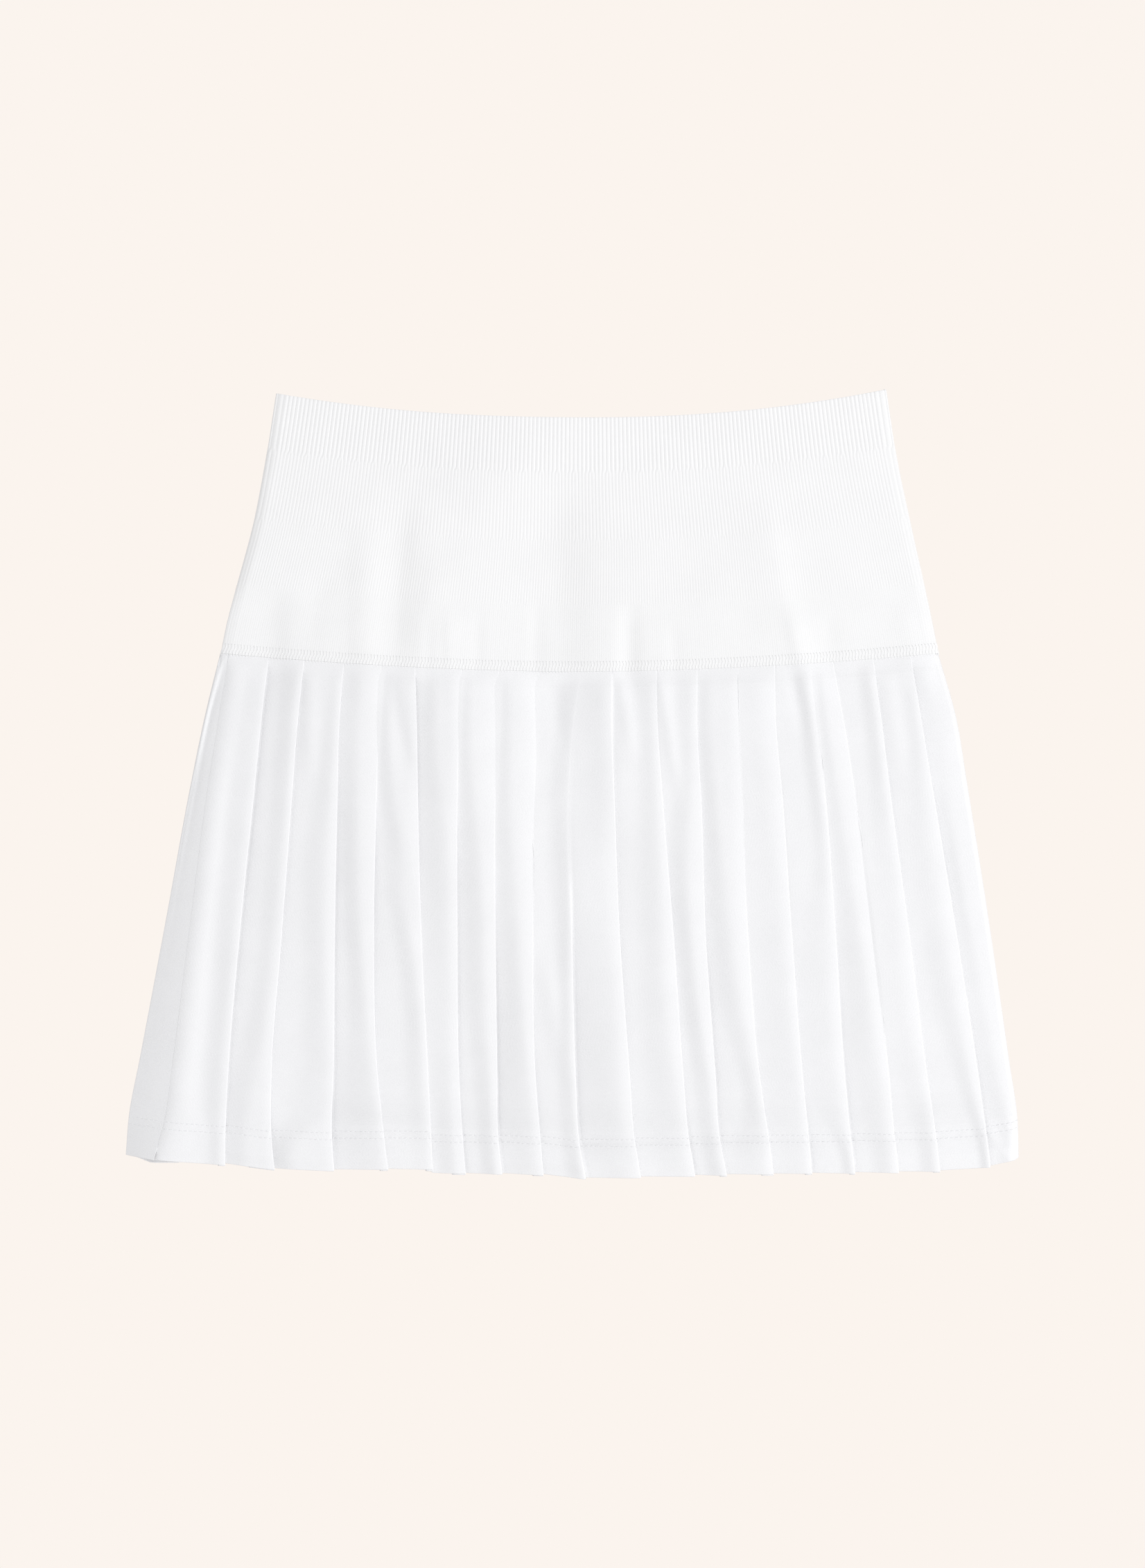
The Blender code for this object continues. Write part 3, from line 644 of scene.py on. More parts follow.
loose = ease(DOWN / LOOSE_BY)[:, None]
freed = ease(DOWN / FREED_BY)[:, None]
parted = ease(DOWN / PARTED_BY)[:, None]
layer = SEAM_LAYER + (LAYER - SEAM_LAYER) * parted
step_down = SEAM_STEP + (2 * layer - SEAM_STEP) * ease(DOWN / STEP_GROWS)[:, None]
top = SEAM_TOP + (TOP - SEAM_TOP) * loose
swell = through(HEIGHTS, SWELL, DOWN)[:, None]
crest_z = top + through(HEIGHTS, CREST_RISE, DOWN)[:, None]
drop = ROLL_SLOPE / 2 * roll * loose
drop[:, -1:] = (LAST_SINKS - LAST_LIES) * loose
comes_x = np.concatenate([side_seam_x, fold_x + OUT + OPEN_OUT * opened], axis=1)
goes_x = np.concatenate([fold_x - FOLD_IN, right_x - EDGE_IN], axis=1)
width = goes_x - comes_x
slanted = slant * width / 2 * loose
comes_z = top - drop[:, :-1] - step_down * (1 - OPEN_LEVELS * opened)
comes_z = comes_z - slanted[:, 1:] - more[:, 1:] * loose
ground = np.concatenate([top - (FIRST_DIP + more[:, :1]) * loose, comes_z], axis=1)
peak = np.concatenate([np.repeat(top, len(FOLDS), axis=1), top - LAST_LIES * loose], axis=1)
ground[:, -1:] = np.minimum(ground[:, -1:], peak[:, -1:] - LEAST_CLIMB)
corners = np.array([fold.corner for fold in FOLDS])
steps = np.array([fold.step for fold in FOLDS])
comes_hem = np.concatenate([[LEFT_HEM - LEFT_LOWER], corners + steps])
goes_hem = np.concatenate([corners, [RIGHT_HEM - RIGHT_LOWER]])
print("Steps from panel to panel:", step_down[[0, -1], 0].round(2), "mm at the seam and at the hem")


# %% Every panel at once
def swelled(x):
    """How far the pile at the left lifts the cloth: a bell round the side seam."""
    return swell * np.exp(-(((x - side_seam_x) / SWELL_WIDE) ** 2))


def panel_points(share):
    """X, Z and hem Y of every panel at shares of its width.

    Its height is a floor, a slant that gets level towards the fold, an ease up round the place
    where it climbs, and less a square along its roll. The first panel starts with a crest beside
    the side seam, a square again.
    """
    across = share * width[..., None]
    middle = (climb * width)[..., None]
    before = np.minimum(band[..., None] / 2, middle)
    after = np.minimum(band[..., None] / 2, width[..., None] - middle)
    floor = ground[..., None] + slanted[..., None] * (1 - (1 - share) ** 2)
    rise = (peak - ground - slanted)[..., None] * ease((across - middle + before) / (before + after))
    rolled = np.clip(1 - (1 - share) * width[..., None] / roll[..., None], 0, 1)
    emerge = EMERGE_DEEP * (loose * parted)[..., None] * (1 - ease(across / EMERGE_WIDE))
    z = floor + rise - drop[..., None] * rolled**2 - emerge
    first = across[:, 0]
    level = np.maximum(middle - before - CREST_REACH, CREST_REACH)[:, 0]
    falls = 1 - ease((first - CREST_REACH) / level)
    crest = CREST_SLOPE / 2 * CREST_REACH * np.clip(1 - first / CREST_REACH, 0, 1) ** 2 * loose
    z[:, 0] += emerge[:, 0] + (crest_z - ground[:, :1]) * falls - crest
    x = comes_x[..., None] + across
    z += swelled(x.reshape(len(DOWN), -1)).reshape(x.shape)
    hem = comes_hem[:, None] + (goes_hem - comes_hem)[:, None] * share
    return np.stack([x, z, np.broadcast_to(hem, x.shape)], axis=-1)


# Columns across a panel are close where it comes out and where it rolls.
PANEL_SHARES = np.array(
    (0, 0.04, 0.09, 0.17, 0.27, 0.37, 0.47, 0.56, 0.65, 0.73, 0.80, 0.86, 0.91, 0.955, 0.985, 1)
)
panels = panel_points(np.broadcast_to(PANEL_SHARES, width.shape + PANEL_SHARES.shape))
print("Height across a panel in the middle:", panels[40, 9, ::2, 1].round(1))

# %% [markdown]
# A fold's own points follow each panel: the turn, the cloth under it, the hairpin and the way back
# out.

# %% Folds under the panels
TURN = np.radians((43.0, 10.0, -23.0, -57.0, -90.0))  # where the points of its half ellipse are
FOLD_ROUND, FOLD_BACK, FOLD_LOW = 0.25, 0.10, 0.97  # how wide it turns, how far back, and how low
UNDER_SHARES = (0.0, 0.45, 1.0)  # where the points of the cloth folded under are
FOLD_LEAST, CLIMB_CLEAR = 3.0, 0.3  # the least folded under, and how much of the climb stays clear
HAIRPIN = 0.45  # how far back the cloth turns, one layer down
TURN_STARTS = 0.1  # share of the way to the hem of the cloth under it, where the turn starts


def folded_under():
    """Points of every fold between its panel and the next: half an ellipse round the edge, and the
    panel's own curve one layer and then two layers lower, as deep as the panel's climb allows."""
    deep = (1 - climb[:, :-1]) * width[:, :-1] - CLIMB_CLEAR * band[:, :-1]
    deep_share = np.clip(deep, FOLD_LEAST, FOLD_UNDER) / width[:, :-1]
    deep_share = np.concatenate([deep_share, deep_share[:, -1:]], axis=1)
    share = 1 - deep_share[..., None] * np.array(UNDER_SHARES)
    curve = panel_points(share)[:, :-1]  # the last panel has no fold
    end, under = curve[:, :, 0], curve[:, :, 1:]
    half = layer[..., None] / 2
    hem_under = np.array([fold.under for fold in FOLDS])
    turn_x = end[..., 0, None] - FOLD_BACK + FOLD_ROUND * np.cos(TURN)
    turn_z = end[..., 1, None] - FOLD_LOW * half + half * np.sin(TURN)
    turn_hem = end[..., 2, None] + hem_under[:, None] * np.linspace(TURN_STARTS, 1.0, TURN.size)
    turned = np.stack([turn_x, turn_z, turn_hem], axis=-1)
    down = np.stack([0 * layer, -layer, 0 * layer], axis=-1)[..., None, :]
    one, two = under + down, under + 2 * down
    one[..., 2] = two[..., 2] = under[..., 2] + hem_under[:, None]
    hairpin = (one[:, :, -1:] + two[:, :, -1:]) / 2 - np.array((HAIRPIN, 0.0, 0.0))
    shut = np.concatenate([turned, one, hairpin, two[:, :, ::-1]], axis=2)
    along = (np.arange(shut.shape[2]) + 1) / (shut.shape[2] + 1)
    begin, finish = panels[:, :-1, -1:], panels[:, 1:, :1]
    plain = begin + (finish - begin) * along[:, None]
    return shut + (plain - shut) * ease(opened)[..., None, None]


folds = folded_under()
print("Folds:", folds.shape[2], "columns each, beside the panel's", panels.shape[2])

# %% [markdown]
# The front begins on the crest over the left edge, beside the side seam, and ends by rolling round
# the right edge down to the table, where the back's seam is hidden.

# %% The front's two ends
RIGHT_ROLL = table(
    "inward height lift",
    (1.3, 4.1, -0.9),
    (0.35, 3.3, -0.3),
    (0, 2.4, 0),
    (0.4, 1.3, 0),
    (1.4, 0.5, 0),
    (2.8, 0.3, 0),
)
SEAM_FULLER = 0.4  # at the seam the right edge is so much thicker, as the yoke's edge is
LIP = 0.006  # a column close to the side seam keeps the shading crisp there


def column_of(x, z, hem):
    """One point of the section at every height."""
    values = [np.broadcast_to(value, side_seam_x.shape) for value in (x, z, hem)]
    return np.stack(values, axis=-1)


def front_section():
    """All columns of the front's section, left to right."""
    lip = panel_points(np.full(width.shape + (1,), LIP))[:, 0]
    middle = np.concatenate([panels[:, :-1], folds], axis=2).reshape(len(DOWN), -1, 3)
    edge = right_x - CLOTH_WALL / 2
    fuller = 1 + SEAM_FULLER * (1 - loose)
    turn = [column_of(edge - p.inward, p.height * fuller, RIGHT_HEM + p.lift) for p in RIGHT_ROLL]
    last = rounded(np.concatenate([panels[:, -1, -2:], *turn], axis=1), [1] + [2] * len(RIGHT_ROLL))
    return np.concatenate([middle[:, :1], lip, middle[:, 1:], panels[:, -1, :-2], last], axis=1)


section = front_section()
print("The front's section has", section.shape[1], "points at each height")

# %% [markdown]
# A section becomes cloth in two steps. First its points are laid out in space, down the lines that
# run from the seam to the hem. Then the thin sheet gets a wall. Blender's Solidify modifier would
# do that too, but here the wall changes: it is thin in the seam, and a little thicker where the hem
# is turned up.

# %% From a section to a shell
SKIRT_LONG = 279.0
HEM_DEEP, ROWS_APART = 21.0, 3.8  # the upper row of stitches over the hem, and the lower one under it
TURNED_UP, TURNED_OVER, TURNED_ENDS = 0.1, 1.0, 1.5  # how thick it is turned up, and how far over the rows
HEM_ROUND = 0.3


def laid_out(section):
    """The section's points in space: each runs straight from the seam to its own place at the hem."""
    x, z, hem = (section[..., k] for k in range(3))
    seam = seam_y(between(x, left_x, right_x)) - SEAM_GAP / 2
    y = seam + (hem - seam) * DOWN[:, None]
    return np.stack([x, y, z], axis=-1), y - hem


def along_cloth(points):
    """How far along the cloth each column is, in millimetres."""
    return walked(points[..., [0, 2]])


def with_wall(name, middle, over_hem):
    """A closed shell on the middle of the cloth: half a wall out, half in, more on the inside of
    the hem, less in the seam, a rounded edge at the hem and a flat one in the seam."""
    normals = facing(middle)
    half = (SEAM_WALL + (CLOTH_WALL - SEAM_WALL) * parted[..., None]) / 2
    turned_up = TURNED_UP * ease((HEM_DEEP + TURNED_OVER - over_hem) / TURNED_ENDS)[..., None]
    outer = middle + normals * half
    inner = middle - normals * (half + turned_up)
    hem_rim = (outer[-1:] + inner[-1:]) / 2 + np.array((0.0, -HEM_ROUND, 0.0))
    seam_rim = (outer[:1] + inner[:1]) / 2
    points = np.concatenate([outer, hem_rim, inner[::-1], seam_rim])
    long = DOWN * SKIRT_LONG
    rows = np.concatenate([long, long[-1:], long[::-1], long[:1]])
    u = along_cloth(middle)
    u = np.concatenate([u, u[-1:], u[::-1], u[:1]])
    uv = np.stack([u, np.broadcast_to(rows[:, None], u.shape)], axis=-1) * MM
    return closed_grid(name, points, uv, ring=False), outer


front_middle, over_hem = laid_out(section)
print("The front's lowest corner is at Y", front_middle[-1, :, 1].min().round(1))

# %% [markdown]
# What remains is the surface: at the seam the pleats are held level with the yoke's foot, the
# creases are added, and at the hem two rows of stitches pull the cloth in and pucker it.

# %% The front's surface
RIM_IN = 1.5  # past the yoke's right edge the pleats keep the height that it has so far in
PUCKER, PUCKER_LONG, PUCKER_WIDE = 0.10, 3.6, 4.5  # how far a wave swings, its length, and how wide all is
GROOVE, GROOVE_WIDE = 0.06, 1.0  # how deep a row of stitches pulls the cloth in, and how wide
HEM_CURL, HEM_CURL_LONG = 2.0, 8.5  # how far the hem bends down, and from what height over it
LIES_LOW, LIES_HIGH = 1.0, 4.5  # between these heights creases fade in, clear of edges and undersides


def stitch_groove(over):
    """How deep the two rows of stitches pull the cloth in: a bell round each row."""
    rows = (HEM_DEEP, HEM_DEEP - ROWS_APART)
    return GROOVE * sum(np.exp(-(((over - row) / GROOVE_WIDE) ** 2)) for row in rows)


def yoke_height(x):
    """Height of the yoke's foot at X."""
    foot = knit_loop([1.0])[0][0, : FRONT_COLUMNS + 1]
    return np.interp(x, foot[:, 0], foot[:, 2])


x, y, z = (front_middle[..., k] for k in range(3))
upper = ease((z - LIES_LOW) / (LIES_HIGH - LIES_LOW))
beside_yoke = np.minimum(x, YOKE_EDGES[-1].right - RIM_IN)
z += (yoke_height(beside_yoke) - SEAM_SINKS - SEAM_TOP) * (1 - freed) * upper
z += crease_rise(x, y, SKIRT_CREASES) * upper * loose
stitched = np.exp(-(((over_hem - HEM_DEEP + ROWS_APART / 2) / PUCKER_WIDE) ** 2))
z += PUCKER * np.sin(2 * np.pi * along_cloth(front_middle) / PUCKER_LONG) * stitched * upper
z -= (HEM_CURL * ease(1 - over_hem / HEM_CURL_LONG) + stitch_groove(over_hem)) * upper
skirt_front, front_outer = with_wall("skirt_front_pleats", front_middle, over_hem)
print("Front:", front_middle.shape[:2], "rows and columns,", triangles(skirt_front), "triangles")
front_cut = along_cloth(front_middle)[[0, -1], -1]
print("Front's cloth is", front_cut.round(), "mm wide at the seam and at the hem")

# %% [markdown]
# ## The skirt's back
#
# The back has the same pleats, mirrored and turned over: the outer face of every panel lies flat on
# the table. At the left it rolls up round the edge and climbs to the side seam, and there its first
# pleat shows as a narrow ridge under the yoke.

# %% Sizes of the back's folds
BACK_FOLD = table(
    "under right layers lift",
    (0, 4, 0, 0.5),
    (0, 1.2, 0, 0.5),
    (0, 0, 0.5, 0.5),
    (0, 1.2, 1, 0.5),
    (1, -1, 1, 0.5),
    (1, 0, 1.5, 0.5),
    (1, -1, 2, 0.5),
    (0, -0.2, 2, 0.5),
    (0, -3.2, 0, 0.8),
)
BACK_FOLD_COLUMNS = (1, 2, 2, 1, 2, 2, 1, 2, 2)  # from each of its points to the next
BACK_FOLD_SHARE = 0.55  # a back pleat's underlay, as a share of its panel
BACK_HEM_UP = 0.4  # how far the back's hem lies above the front's
print("A fold of the back has", len(BACK_FOLD), "points and", sum(BACK_FOLD_COLUMNS), "columns")

# %% [markdown]
# The left edge is what shows of the back from above. It stands high under the yoke, where the
# knit's own edge holds it up, and gets flat further down. Each of its sizes is given at the seven
# heights of the folds.

# %% Sizes of the left edge
LEFT_ROLL = table("inward up", (1.9, 0.0), (0.6, 0.12), (0.0, 0.45), (0.08, 0.85), (0.35, 1.0))
LEFT_FOOT = (2.9, 3.9, 2.8, 1.6, 1.3, 1.2, 1.2)  # how high it stands when it has rolled all the way up
LEFT_CLIMB = (0.05, 0.11, 0.18, 0.26, 0.34, 0.43, 0.55, 0.70, 0.85, 0.992)  # shares of the way across
LEFT_BULGE = 0.05
EDGE_SHELF = (2.5, 2.2, 1.0, 0.0, 0.0, 0.0, 0.0)  # how far the cloth is level before it climbs
EDGE_FOLD_IN = (2.9, 1.9, 2.5, 2.7, 3.0, 3.0, 3.0)  # the first pleat's fold, in from the left edge
EDGE_FOLD_RISE = (0.45, 0.45, 0.25, 0.05, 0.0, 0.0, 0.0)
EDGE_WAVES = table("past wide rise", (-0.9, 1.2, 1.0), (1.2, 1.5, -0.6))  # its ridge and a dip
RIDGE_ENDS, YOKE_ENDS = 0.2, 0.25  # near the side seam they fade out in these shares of the way
SEAM_BESIDE, SEAM_BELOW = 0.9, 0.4  # how many gaps the back's edge is beside and below the front's
print("The left edge climbs in", len(LEFT_CLIMB) + 1, "steps")


# %% The back
def back_section():
    """The section from the right seam, along the table and round the left edge, to the side seam."""
    folds_x = right_x - (fold_x - left_x)
    begin = right_x - CLOTH_WALL / 2 - RIGHT_ROLL[-1].inward - SEAM_GAP
    points = [column_of(begin, CLOTH_WALL / 2, RIGHT_HEM)]
    for k in range(len(FOLDS)):
        place = folds_x[:, k : k + 1]
        hem = np.interp(place[-1, 0], fold_x[-1], corners) + BACK_HEM_UP
        deep = np.minimum(BACK_FOLD_SHARE * (begin - place), FOLD_UNDER)
        for p in BACK_FOLD:
            height = CLOTH_WALL / 2 + p.layers * LAYER
            points.append(column_of(place + p.under * deep + p.right, height, hem + p.lift))
        begin = place
    edge = left_x + CLOTH_WALL / 2
    foot_x, foot_z = edge + LEFT_ROLL[-1].inward, through(HEIGHTS, LEFT_FOOT, DOWN)[:, None]
    low = CLOTH_WALL / 2
    points += [column_of(edge + p.inward, low + p.up * (foot_z - low), LEFT_HEM) for p in LEFT_ROLL]
    seam_x = side_seam_x - SEAM_BESIDE * SEAM_GAP
    at_seam = (yoke_height(seam_x) - SEAM_SINKS - SEAM_TOP) * (1 - freed)
    seam_z = panels[:, 0, 0, 1:2] - SEAM_BELOW * SEAM_GAP + at_seam
    fold_in, fold_rise, shelf = (
        through(HEIGHTS, sizes, DOWN)[:, None] for sizes in (EDGE_FOLD_IN, EDGE_FOLD_RISE, EDGE_SHELF)
    )
    for share in (*LEFT_CLIMB, 1.0):
        x = foot_x + share * (seam_x - foot_x)
        past = x - edge - fold_in
        ridge = sum(wave.rise * np.exp(-((past - wave.past) ** 2) / wave.wide) for wave in EDGE_WAVES)
        climbed = np.clip((x - foot_x - shelf) / (seam_x - foot_x - shelf), 0, 1)
        up = climbed + LEFT_BULGE * np.sin(np.pi * climbed)
        height = foot_z + up * (seam_z - foot_z) + fold_rise * ridge * ease((1 - share) / RIDGE_ENDS)
        height += (yoke_height(x) - SEAM_SINKS - height) * (1 - loose) * ease((1 - share) / YOKE_ENDS)
        points.append(column_of(x, height, LEFT_HEM - LEFT_LOWER * share))
    columns = [2] + list(BACK_FOLD_COLUMNS) * len(FOLDS)
    columns += [2] * (len(LEFT_ROLL) - 1 + len(LEFT_CLIMB)) + [1]
    section = rounded(np.concatenate(points, axis=1), columns)
    section[..., 1] = np.maximum(section[..., 1], CLOTH_WALL / 2)
    return section


back_middle, back_over_hem = laid_out(back_section())
back_middle[..., 2] += stitch_groove(back_over_hem) * (back_middle[..., 2] < CLOTH_WALL)
skirt_back, back_outer = with_wall("skirt_back_pleats", back_middle, back_over_hem)
print("Back:", back_middle.shape[:2], "rows and columns,", triangles(skirt_back), "triangles")
back_cut = along_cloth(back_middle)[[0, -1], -1]
print("Back's cloth is", back_cut.round(), "mm wide at the seam and at the hem")

# %% [markdown]
# ## Sewing
#
# Two kinds of sewing show: a flatlock seam between yoke and skirt, and a twin-needle hem. A stitch
# is a short thread that dives into the cloth at both ends. Each could be a curve object with a
# round bevel, but there are thousands. So all stitches of a seam are one mesh, made at once: a row
# of paths, each of a few points, and a small ring of points round each path's points.


# %% Threads as small tubes
def thread_mesh(name, paths, radius, sides=5):
    """Tubes round many short paths at once. A ring of points stands square to the path at each of
    its points: cosine times one direction and sine times another, at the thread's radius. Both ends
    are closed."""
    count, long = paths.shape[:2]
    run = np.gradient(paths, axis=1)
    run /= np.linalg.norm(run, axis=-1, keepdims=True)
    up = np.array((0.0, 0.0, 1.0)) - run * run[..., 2:]
    up /= np.maximum(np.linalg.norm(up, axis=-1, keepdims=True), 1e-6)
    side = np.cross(run, up)
    turn = 2 * np.pi * np.arange(sides) / sides
    rings = paths[:, :, None] + radius * (
        np.cos(turn)[:, None] * side[:, :, None] + np.sin(turn)[:, None] * up[:, :, None]
    )
    first = np.arange(count)[:, None, None] * long * sides
    step, k = np.arange(long - 1)[None, :, None] * sides, np.arange(sides)[None, None, :]
    after = (k + 1) % sides
    here = first + step
    quads = [here + k, here + after, here + sides + after, here + sides + k]
    quads = np.stack(np.broadcast_arrays(*quads), axis=-1).reshape(-1, 4)
    ring = np.arange(sides)
    starts = (np.arange(count)[:, None] * long * sides + ring[::-1]).tolist()
    ends = ((np.arange(count)[:, None] * long + long - 1) * sides + ring).tolist()
    return add_mesh(name, rings.reshape(-1, 3), quads.tolist() + starts + ends)


def on_grid(points, row, column):
    """Points of a grid at broken row and column numbers, mixed from the four around each."""
    row = np.clip(row, 0, points.shape[0] - 1.001)
    column = np.clip(column, 0, points.shape[1] - 1.001)
    r, c = row.astype(int), column.astype(int)
    a, b = (row - r)[..., None], (column - c)[..., None]
    upper_pair = points[r, c] * (1 - b) + points[r, c + 1] * b
    return upper_pair * (1 - a) + (points[r + 1, c] * (1 - b) + points[r + 1, c + 1] * b) * a


corners_of_a_square = np.array([[[0.0], [1.0]], [[2.0], [3.0]]])
in_the_middle = on_grid(corners_of_a_square, np.array(0.5), np.array(0.5))[0]
print("In the middle of a square with the corners 0, 1, 2 and 3 is", in_the_middle)

# %% [markdown]
# The hem's stitches follow the finished surface, so that they ride over every fold. They are placed
# by length along the cloth, as a machine does it.

# %% The hem's stitches
STITCH, STITCH_GAP, STITCH_POINTS = 2.2, 0.6, 5  # how long, how far apart, and points along it
HEM_THREAD, STITCH_SUNK = 0.17, 0.12  # the thread's radius, and how deep its ends lie
ENDS_CLEAR = 1.0  # no stitch is nearer to a side of the cloth


def hem_stitches(name, outer, clear):
    """Two rows of straight stitches along the cloth. Each is an arc over it: the sine of its length."""
    paths = []
    for over in (HEM_DEEP, HEM_DEEP - ROWS_APART):
        share = 1 - over / SKIRT_LONG
        row = np.interp(share, DOWN, np.arange(len(DOWN)))
        line = on_grid(outer, np.full(outer.shape[1], row), np.arange(outer.shape[1], dtype=float))
        length = walked(line)
        starts = np.arange(ENDS_CLEAR, length[-1] - STITCH - ENDS_CLEAR, STITCH + STITCH_GAP)
        along = np.linspace(0, 1, STITCH_POINTS)
        column = np.interp(starts[:, None] + STITCH * along, length, np.arange(len(length)))
        sewn = on_grid(outer, np.full(column.shape, row), column)
        normals = on_grid(facing(outer), np.full(column.shape, row), column)
        arc = clear * np.sin(np.pi * along) - STITCH_SUNK
        paths.append(sewn + normals * arc[None, :, None])
    return thread_mesh(name, np.concatenate(paths), HEM_THREAD)


hem_front = hem_stitches("hem_stitches_front", front_outer, 0.2)
hem_back = hem_stitches("hem_stitches_back", back_outer, 0.1)
print("Hem:", triangles(hem_front) + triangles(hem_back), "triangles of thread")

# %% [markdown]
# The flatlock seam shows as a band of leaning loops, sewn round the tube where the pleats are
# joined to the knit. Each loop is an S between the band's two edges, and bulges twice on its way.

# %% The flatlock band
LOOP_EVERY, LOOP_THREAD = 1.75, 0.22  # from loop to loop, and the thread's radius
LOOP_TOP, LOOP_FOOT = 0.961, 1.006  # shares of the yoke's height where a loop starts and ends
LOOP_LEAN, LOOP_SWING = 0.5, 0.55  # how far it leans in all, and swings to each side
LOOP_LIFT, LOOP_SUNK, LOOP_POINTS = 0.10, 0.09, 9  # how far it bulges, how deep it lies, and its points
BAND_SHARES, BAND_MIDDLE = np.linspace(0.94, 1.01, 15), 0.98  # shares of the yoke's height


def loop_places(columns, rows):
    """Points and normals of the band at broken column numbers and shares of the height."""
    base, _, upper = knit_loop(BAND_SHARES)
    normals = loop_normals(base)
    base = base - normals * (BAND_SUNK * (1 - upper))[:, None]
    row = np.interp(rows, BAND_SHARES, np.arange(len(BAND_SHARES)))
    column = np.mod(columns, base.shape[1] - 1)
    return on_grid(base, row, column), on_grid(normals, row, column)


loop_length = walked(knit_loop([BAND_MIDDLE])[0][0])
starts = np.arange(LOOP_LEAN, loop_length[-1] - LOOP_LEAN, LOOP_EVERY)
loops = np.interp(starts, loop_length, np.arange(len(loop_length)))
t = np.linspace(0, 1, LOOP_POINTS)
density = 1.0 / np.gradient(loop_length)[np.minimum(loops.astype(int), len(loop_length) - 1)][:, None]
lean = density * (LOOP_LEAN * (t - 0.5) + LOOP_SWING * np.sin(2 * np.pi * t))
shares = np.broadcast_to(LOOP_TOP + (LOOP_FOOT - LOOP_TOP) * t, lean.shape)
base, normals = loop_places(loops[:, None] + lean, shares)
height = LOOP_LIFT * np.abs(np.sin(2 * np.pi * t)) - LOOP_SUNK
flatlock = thread_mesh("flatlock_seam", base + normals * height[None, :, None], LOOP_THREAD)
print("Flatlock:", len(loops), "loops,", triangles(flatlock), "triangles")

# %% [markdown]
# ## Finishes
#
# Both cloths are white, and white cloth shows only by its surface. A node group draws the stitches
# of a knit from the cloth's own coordinates: columns of loops, each loop a small V. Another draws
# the slight cloudiness that any cloth has. Both are built once and placed in each material with
# their own sizes.


# %% Node groups
def node_group(name, inputs, outputs):
    """An empty shader group with number, vector or colour sockets, and its two end nodes."""
    group = bpy.data.node_groups.new(name, "ShaderNodeTree")
    for label, kind, value in inputs:
        socket = group.interface.new_socket(name=label, in_out="INPUT", socket_type=kind)
        if value is not None:
            socket.default_value = value
    for label, kind in outputs:
        group.interface.new_socket(name=label, in_out="OUTPUT", socket_type=kind)
    return group, group.nodes.new("NodeGroupInput"), group.nodes.new("NodeGroupOutput")


def add_node(tree, kind, inputs=(), **settings):
    """A node with its settings. Each input, by name or number, gets a value or another's socket."""
    node = tree.nodes.new("ShaderNode" + kind)
    for name, value in settings.items():
        setattr(node, name, value)
    for name, value in dict(inputs).items():
        if isinstance(value, bpy.types.NodeSocket):
            tree.links.new(value, node.inputs[name])
        else:
            node.inputs[name].default_value = value
    return node


def math(tree, operation, *inputs):
    """A Math node whose inputs are numbers or other nodes' sockets. Gives its output socket."""
    return add_node(tree, "Math", enumerate(inputs), operation=operation).outputs[0]


print("Node helpers are ready")


# %% Knitted loops
def knit_group():
    """Height of a knit from 0 to 1. Along a column of loops it is a cosine, shifted up at the
    column's sides, so that each loop is a V, and across the columns it is the square of a sine."""
    group, start, end = node_group(
        "Knitted loops",
        [
            ("Cloth", "NodeSocketVector", None),
            ("Columns per metre", "NodeSocketFloat", 2000.0),
            ("Loops per metre", "NodeSocketFloat", 1500.0),
        ],
        [("Height", "NodeSocketFloat")],
    )
    split = add_node(group, "SeparateXYZ", {0: start.outputs["Cloth"]})
    column = math(group, "MULTIPLY", split.outputs[0], start.outputs["Columns per metre"])
    row = math(group, "MULTIPLY", split.outputs[1], start.outputs["Loops per metre"])
    aside = math(group, "ABSOLUTE", math(group, "SUBTRACT", math(group, "FRACT", column), 0.5))
    wave = math(group, "COSINE", math(group, "MULTIPLY", math(group, "ADD", row, aside), 2 * np.pi))
    ridge = math(group, "SINE", math(group, "MULTIPLY", math(group, "FRACT", column), np.pi))
    ridge = math(group, "MULTIPLY", ridge, ridge)
    loops = math(group, "MULTIPLY_ADD", wave, 0.25, 0.5)
    group.links.new(math(group, "MULTIPLY", ridge, loops), end.inputs["Height"])
    return group


# %% Clouds
def cloud_group():
    """A value near 1 that changes slowly over the cloth, from noise of a given size and strength."""
    group, start, end = node_group(
        "Cloudiness",
        [
            ("Place", "NodeSocketVector", None),
            ("Clouds per metre", "NodeSocketFloat", 40.0),
            ("Strength", "NodeSocketFloat", 0.02),
        ],
        [("Value", "NodeSocketFloat")],
    )
    place, scale, strength = (start.outputs[name] for name in ("Place", "Clouds per metre", "Strength"))
    noise = add_node(group, "TexNoise", {"Vector": place, "Scale": scale, "Detail": 4.0}).outputs[0]
    around = math(group, "SUBTRACT", noise, 0.5)
    value = math(group, "MULTIPLY_ADD", around, strength, 1.0)
    group.links.new(value, end.inputs["Value"])
    return group


KNITTED_LOOPS, CLOUDINESS = knit_group(), cloud_group()
print("Groups:", [group.name for group in bpy.data.node_groups])

# %% [markdown]
# The jersey and the knit share a recipe: a nearly white colour with clouds in it, no gloss, a
# little sheen from the loose fibres, and a bump of loops over a finer one of fuzz. They differ in
# the size of their loops.


# %% Cloth materials
SOFT_SURFACE = {
    "Roughness": 0.9,
    "Specular IOR Level": 0.25,
    "Sheen Weight": 0.12,
    "Sheen Roughness": 0.5,
}
CLOUDS, FIBRES = 60.0, 1400.0  # to a metre


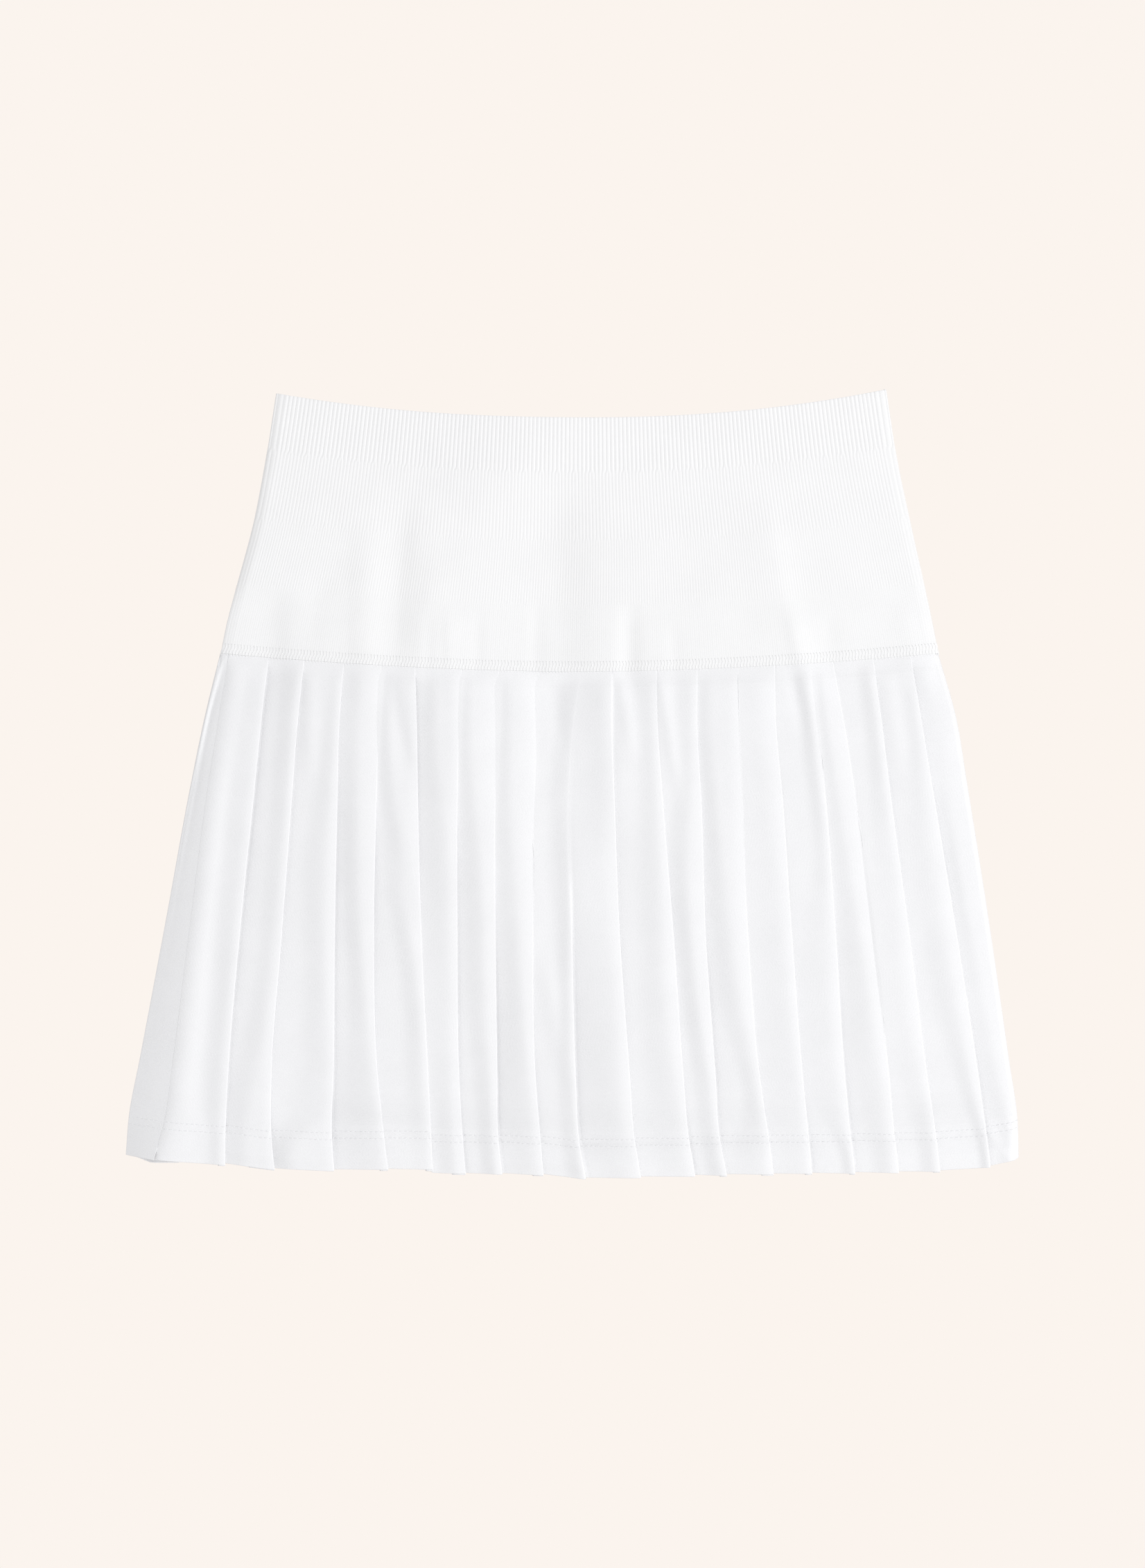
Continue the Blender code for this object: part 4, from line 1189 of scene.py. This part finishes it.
def cloth_material(name, colour, columns, loops, depth, clouds, fuzz):
    """White cloth: its colour times clouds, and two bumps in turn, of fuzz and of loops."""
    material = bpy.data.materials.new(name)
    material.use_nodes = True
    tree = material.node_tree
    shader = tree.nodes["Principled BSDF"]
    for label, value in SOFT_SURFACE.items():
        shader.inputs[label].default_value = value
    cloth = add_node(tree, "UVMap", uv_map="Cloth").outputs["UV"]
    place = add_node(tree, "TexCoord").outputs["Object"]
    around = {"Place": place, "Clouds per metre": CLOUDS, "Strength": clouds}
    cloud = add_node(tree, "Group", around, node_tree=CLOUDINESS).outputs["Value"]
    tint = add_node(tree, "VectorMath", {0: colour, "Scale": cloud}, operation="SCALE")
    tree.links.new(tint.outputs[0], shader.inputs["Base Color"])
    fibres = add_node(tree, "TexNoise", {"Vector": place, "Scale": FIBRES, "Detail": 3.0}).outputs[0]
    fuzzed = {"Height": fibres, "Strength": 1.0, "Distance": fuzz * MM}
    fuzzy = add_node(tree, "Bump", fuzzed).outputs[0]
    sizes = {"Cloth": cloth, "Columns per metre": columns, "Loops per metre": loops}
    knit = add_node(tree, "Group", sizes, node_tree=KNITTED_LOOPS).outputs["Height"]
    looped = {"Height": knit, "Normal": fuzzy, "Strength": 1.0, "Distance": depth * MM}
    tree.links.new(add_node(tree, "Bump", looped).outputs[0], shader.inputs["Normal"])
    return material


JERSEY_WHITE = (0.868, 0.868, 0.880)
KNIT_WHITE = (0.888, 0.887, 0.890)
jersey = cloth_material(
    "white_pleated_jersey", JERSEY_WHITE, columns=2000.0, loops=1500.0, depth=0.06, clouds=0.05, fuzz=0.13
)
rib_knit = cloth_material(
    "white_rib_knit", KNIT_WHITE, columns=333.3, loops=1150.0, depth=0.06, clouds=0.04, fuzz=0.08
)
for piece, finish, slot in (
    (knit_yoke, rib_knit, "rib_knit"),
    (skirt_front, jersey, "pleated_jersey"),
    (skirt_back, jersey, "pleated_jersey"),
    (hem_front, jersey, "pleated_jersey"),
    (hem_back, jersey, "pleated_jersey"),
    (flatlock, rib_knit, "rib_knit"),
):
    piece.data.materials.append(finish)
    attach(piece, "root")
print("Finishes:", [material.name for material in bpy.data.materials])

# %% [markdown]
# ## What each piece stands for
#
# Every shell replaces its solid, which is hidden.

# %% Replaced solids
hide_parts("knit_yoke")
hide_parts("skirt_front")
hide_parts("skirt_back")

# %% [markdown]
# ## Floor, light and camera
#
# The skirt lies on a pale warm ground, seen straight from above. Light comes softly from all round,
# and a little more from the right, so that each fold has a bright side and a darker one.

# %% The ground
GROUND = (0.965, 0.905, 0.855)
GROUND_GIVES = 0.55  # share of its glow that falls back on the cloth
FLOOR_HALF, FLOOR_UNDER = 3.0, 0.0002
floor_mesh = bpy.data.meshes.new("pale_ground")
floor_corners = np.array(((-1, -1, 0), (1, -1, 0), (1, 1, 0), (-1, 1, 0))) * FLOOR_HALF
floor_mesh.from_pydata((floor_corners - (0, 0, FLOOR_UNDER)).tolist(), [], [(0, 1, 2, 3)])
floor = bpy.data.objects.new("pale_ground", floor_mesh)
bpy.context.scene.collection.objects.link(floor)
ground_glow = bpy.data.materials.new("pale_ground")
ground_glow.use_nodes = True
tree = ground_glow.node_tree
tree.nodes.clear()
seen, given = (
    add_node(tree, "Emission", {"Color": (*GROUND, 1), "Strength": strength}).outputs[0]
    for strength in (1.0, GROUND_GIVES)
)
path = add_node(tree, "LightPath").outputs["Is Camera Ray"]
mix = add_node(tree, "MixShader", {0: path, 1: given, 2: seen}).outputs[0]
add_node(tree, "OutputMaterial", {"Surface": mix})
floor_mesh.materials.append(ground_glow)
print("The ground is", 2 * FLOOR_HALF, "m wide")

# %% Light
world = bpy.data.worlds.new("soft_studio")
bpy.context.scene.world = world
world.use_nodes = True
sky = world.node_tree.nodes["Background"].inputs
sky["Color"].default_value = (0.985, 0.985, 0.99, 1)
sky["Strength"].default_value = 0.875


def soft_light(name, place, size, power):
    """A square area light that looks at the skirt's middle."""
    lamp = bpy.data.lights.new(name, "AREA")
    lamp.size = size
    lamp.energy = power
    light = bpy.data.objects.new(name, lamp)
    light.location = place
    light.rotation_mode = "QUATERNION"
    light.rotation_quaternion = light.location.to_track_quat("Z", "Y")
    bpy.context.scene.collection.objects.link(light)
    return light


key = soft_light("key_from_the_right", place=(2.58, -0.84, 1.70), size=1.6, power=40.5)
print("The key light is", round(key.location.length, 2), "m away")

# %% Camera
PIXEL_MM, PIXELS_TALL = 0.38, 2262
FRAME_TALL = PIXELS_TALL * PIXEL_MM * MM
LENS, SENSOR = 85.0, 36.0
camera_data = bpy.data.cameras.new("from_above")
camera_data.lens = LENS
camera_data.sensor_width = SENSOR
camera = bpy.data.objects.new("from_above", camera_data)
camera.location = (0.0, 0.0, FRAME_TALL * LENS / SENSOR)
bpy.context.scene.collection.objects.link(camera)
bpy.context.scene.camera = camera
bpy.context.scene.view_settings.view_transform = "Standard"
print("Camera is", round(camera.location.z, 3), "m above the table")
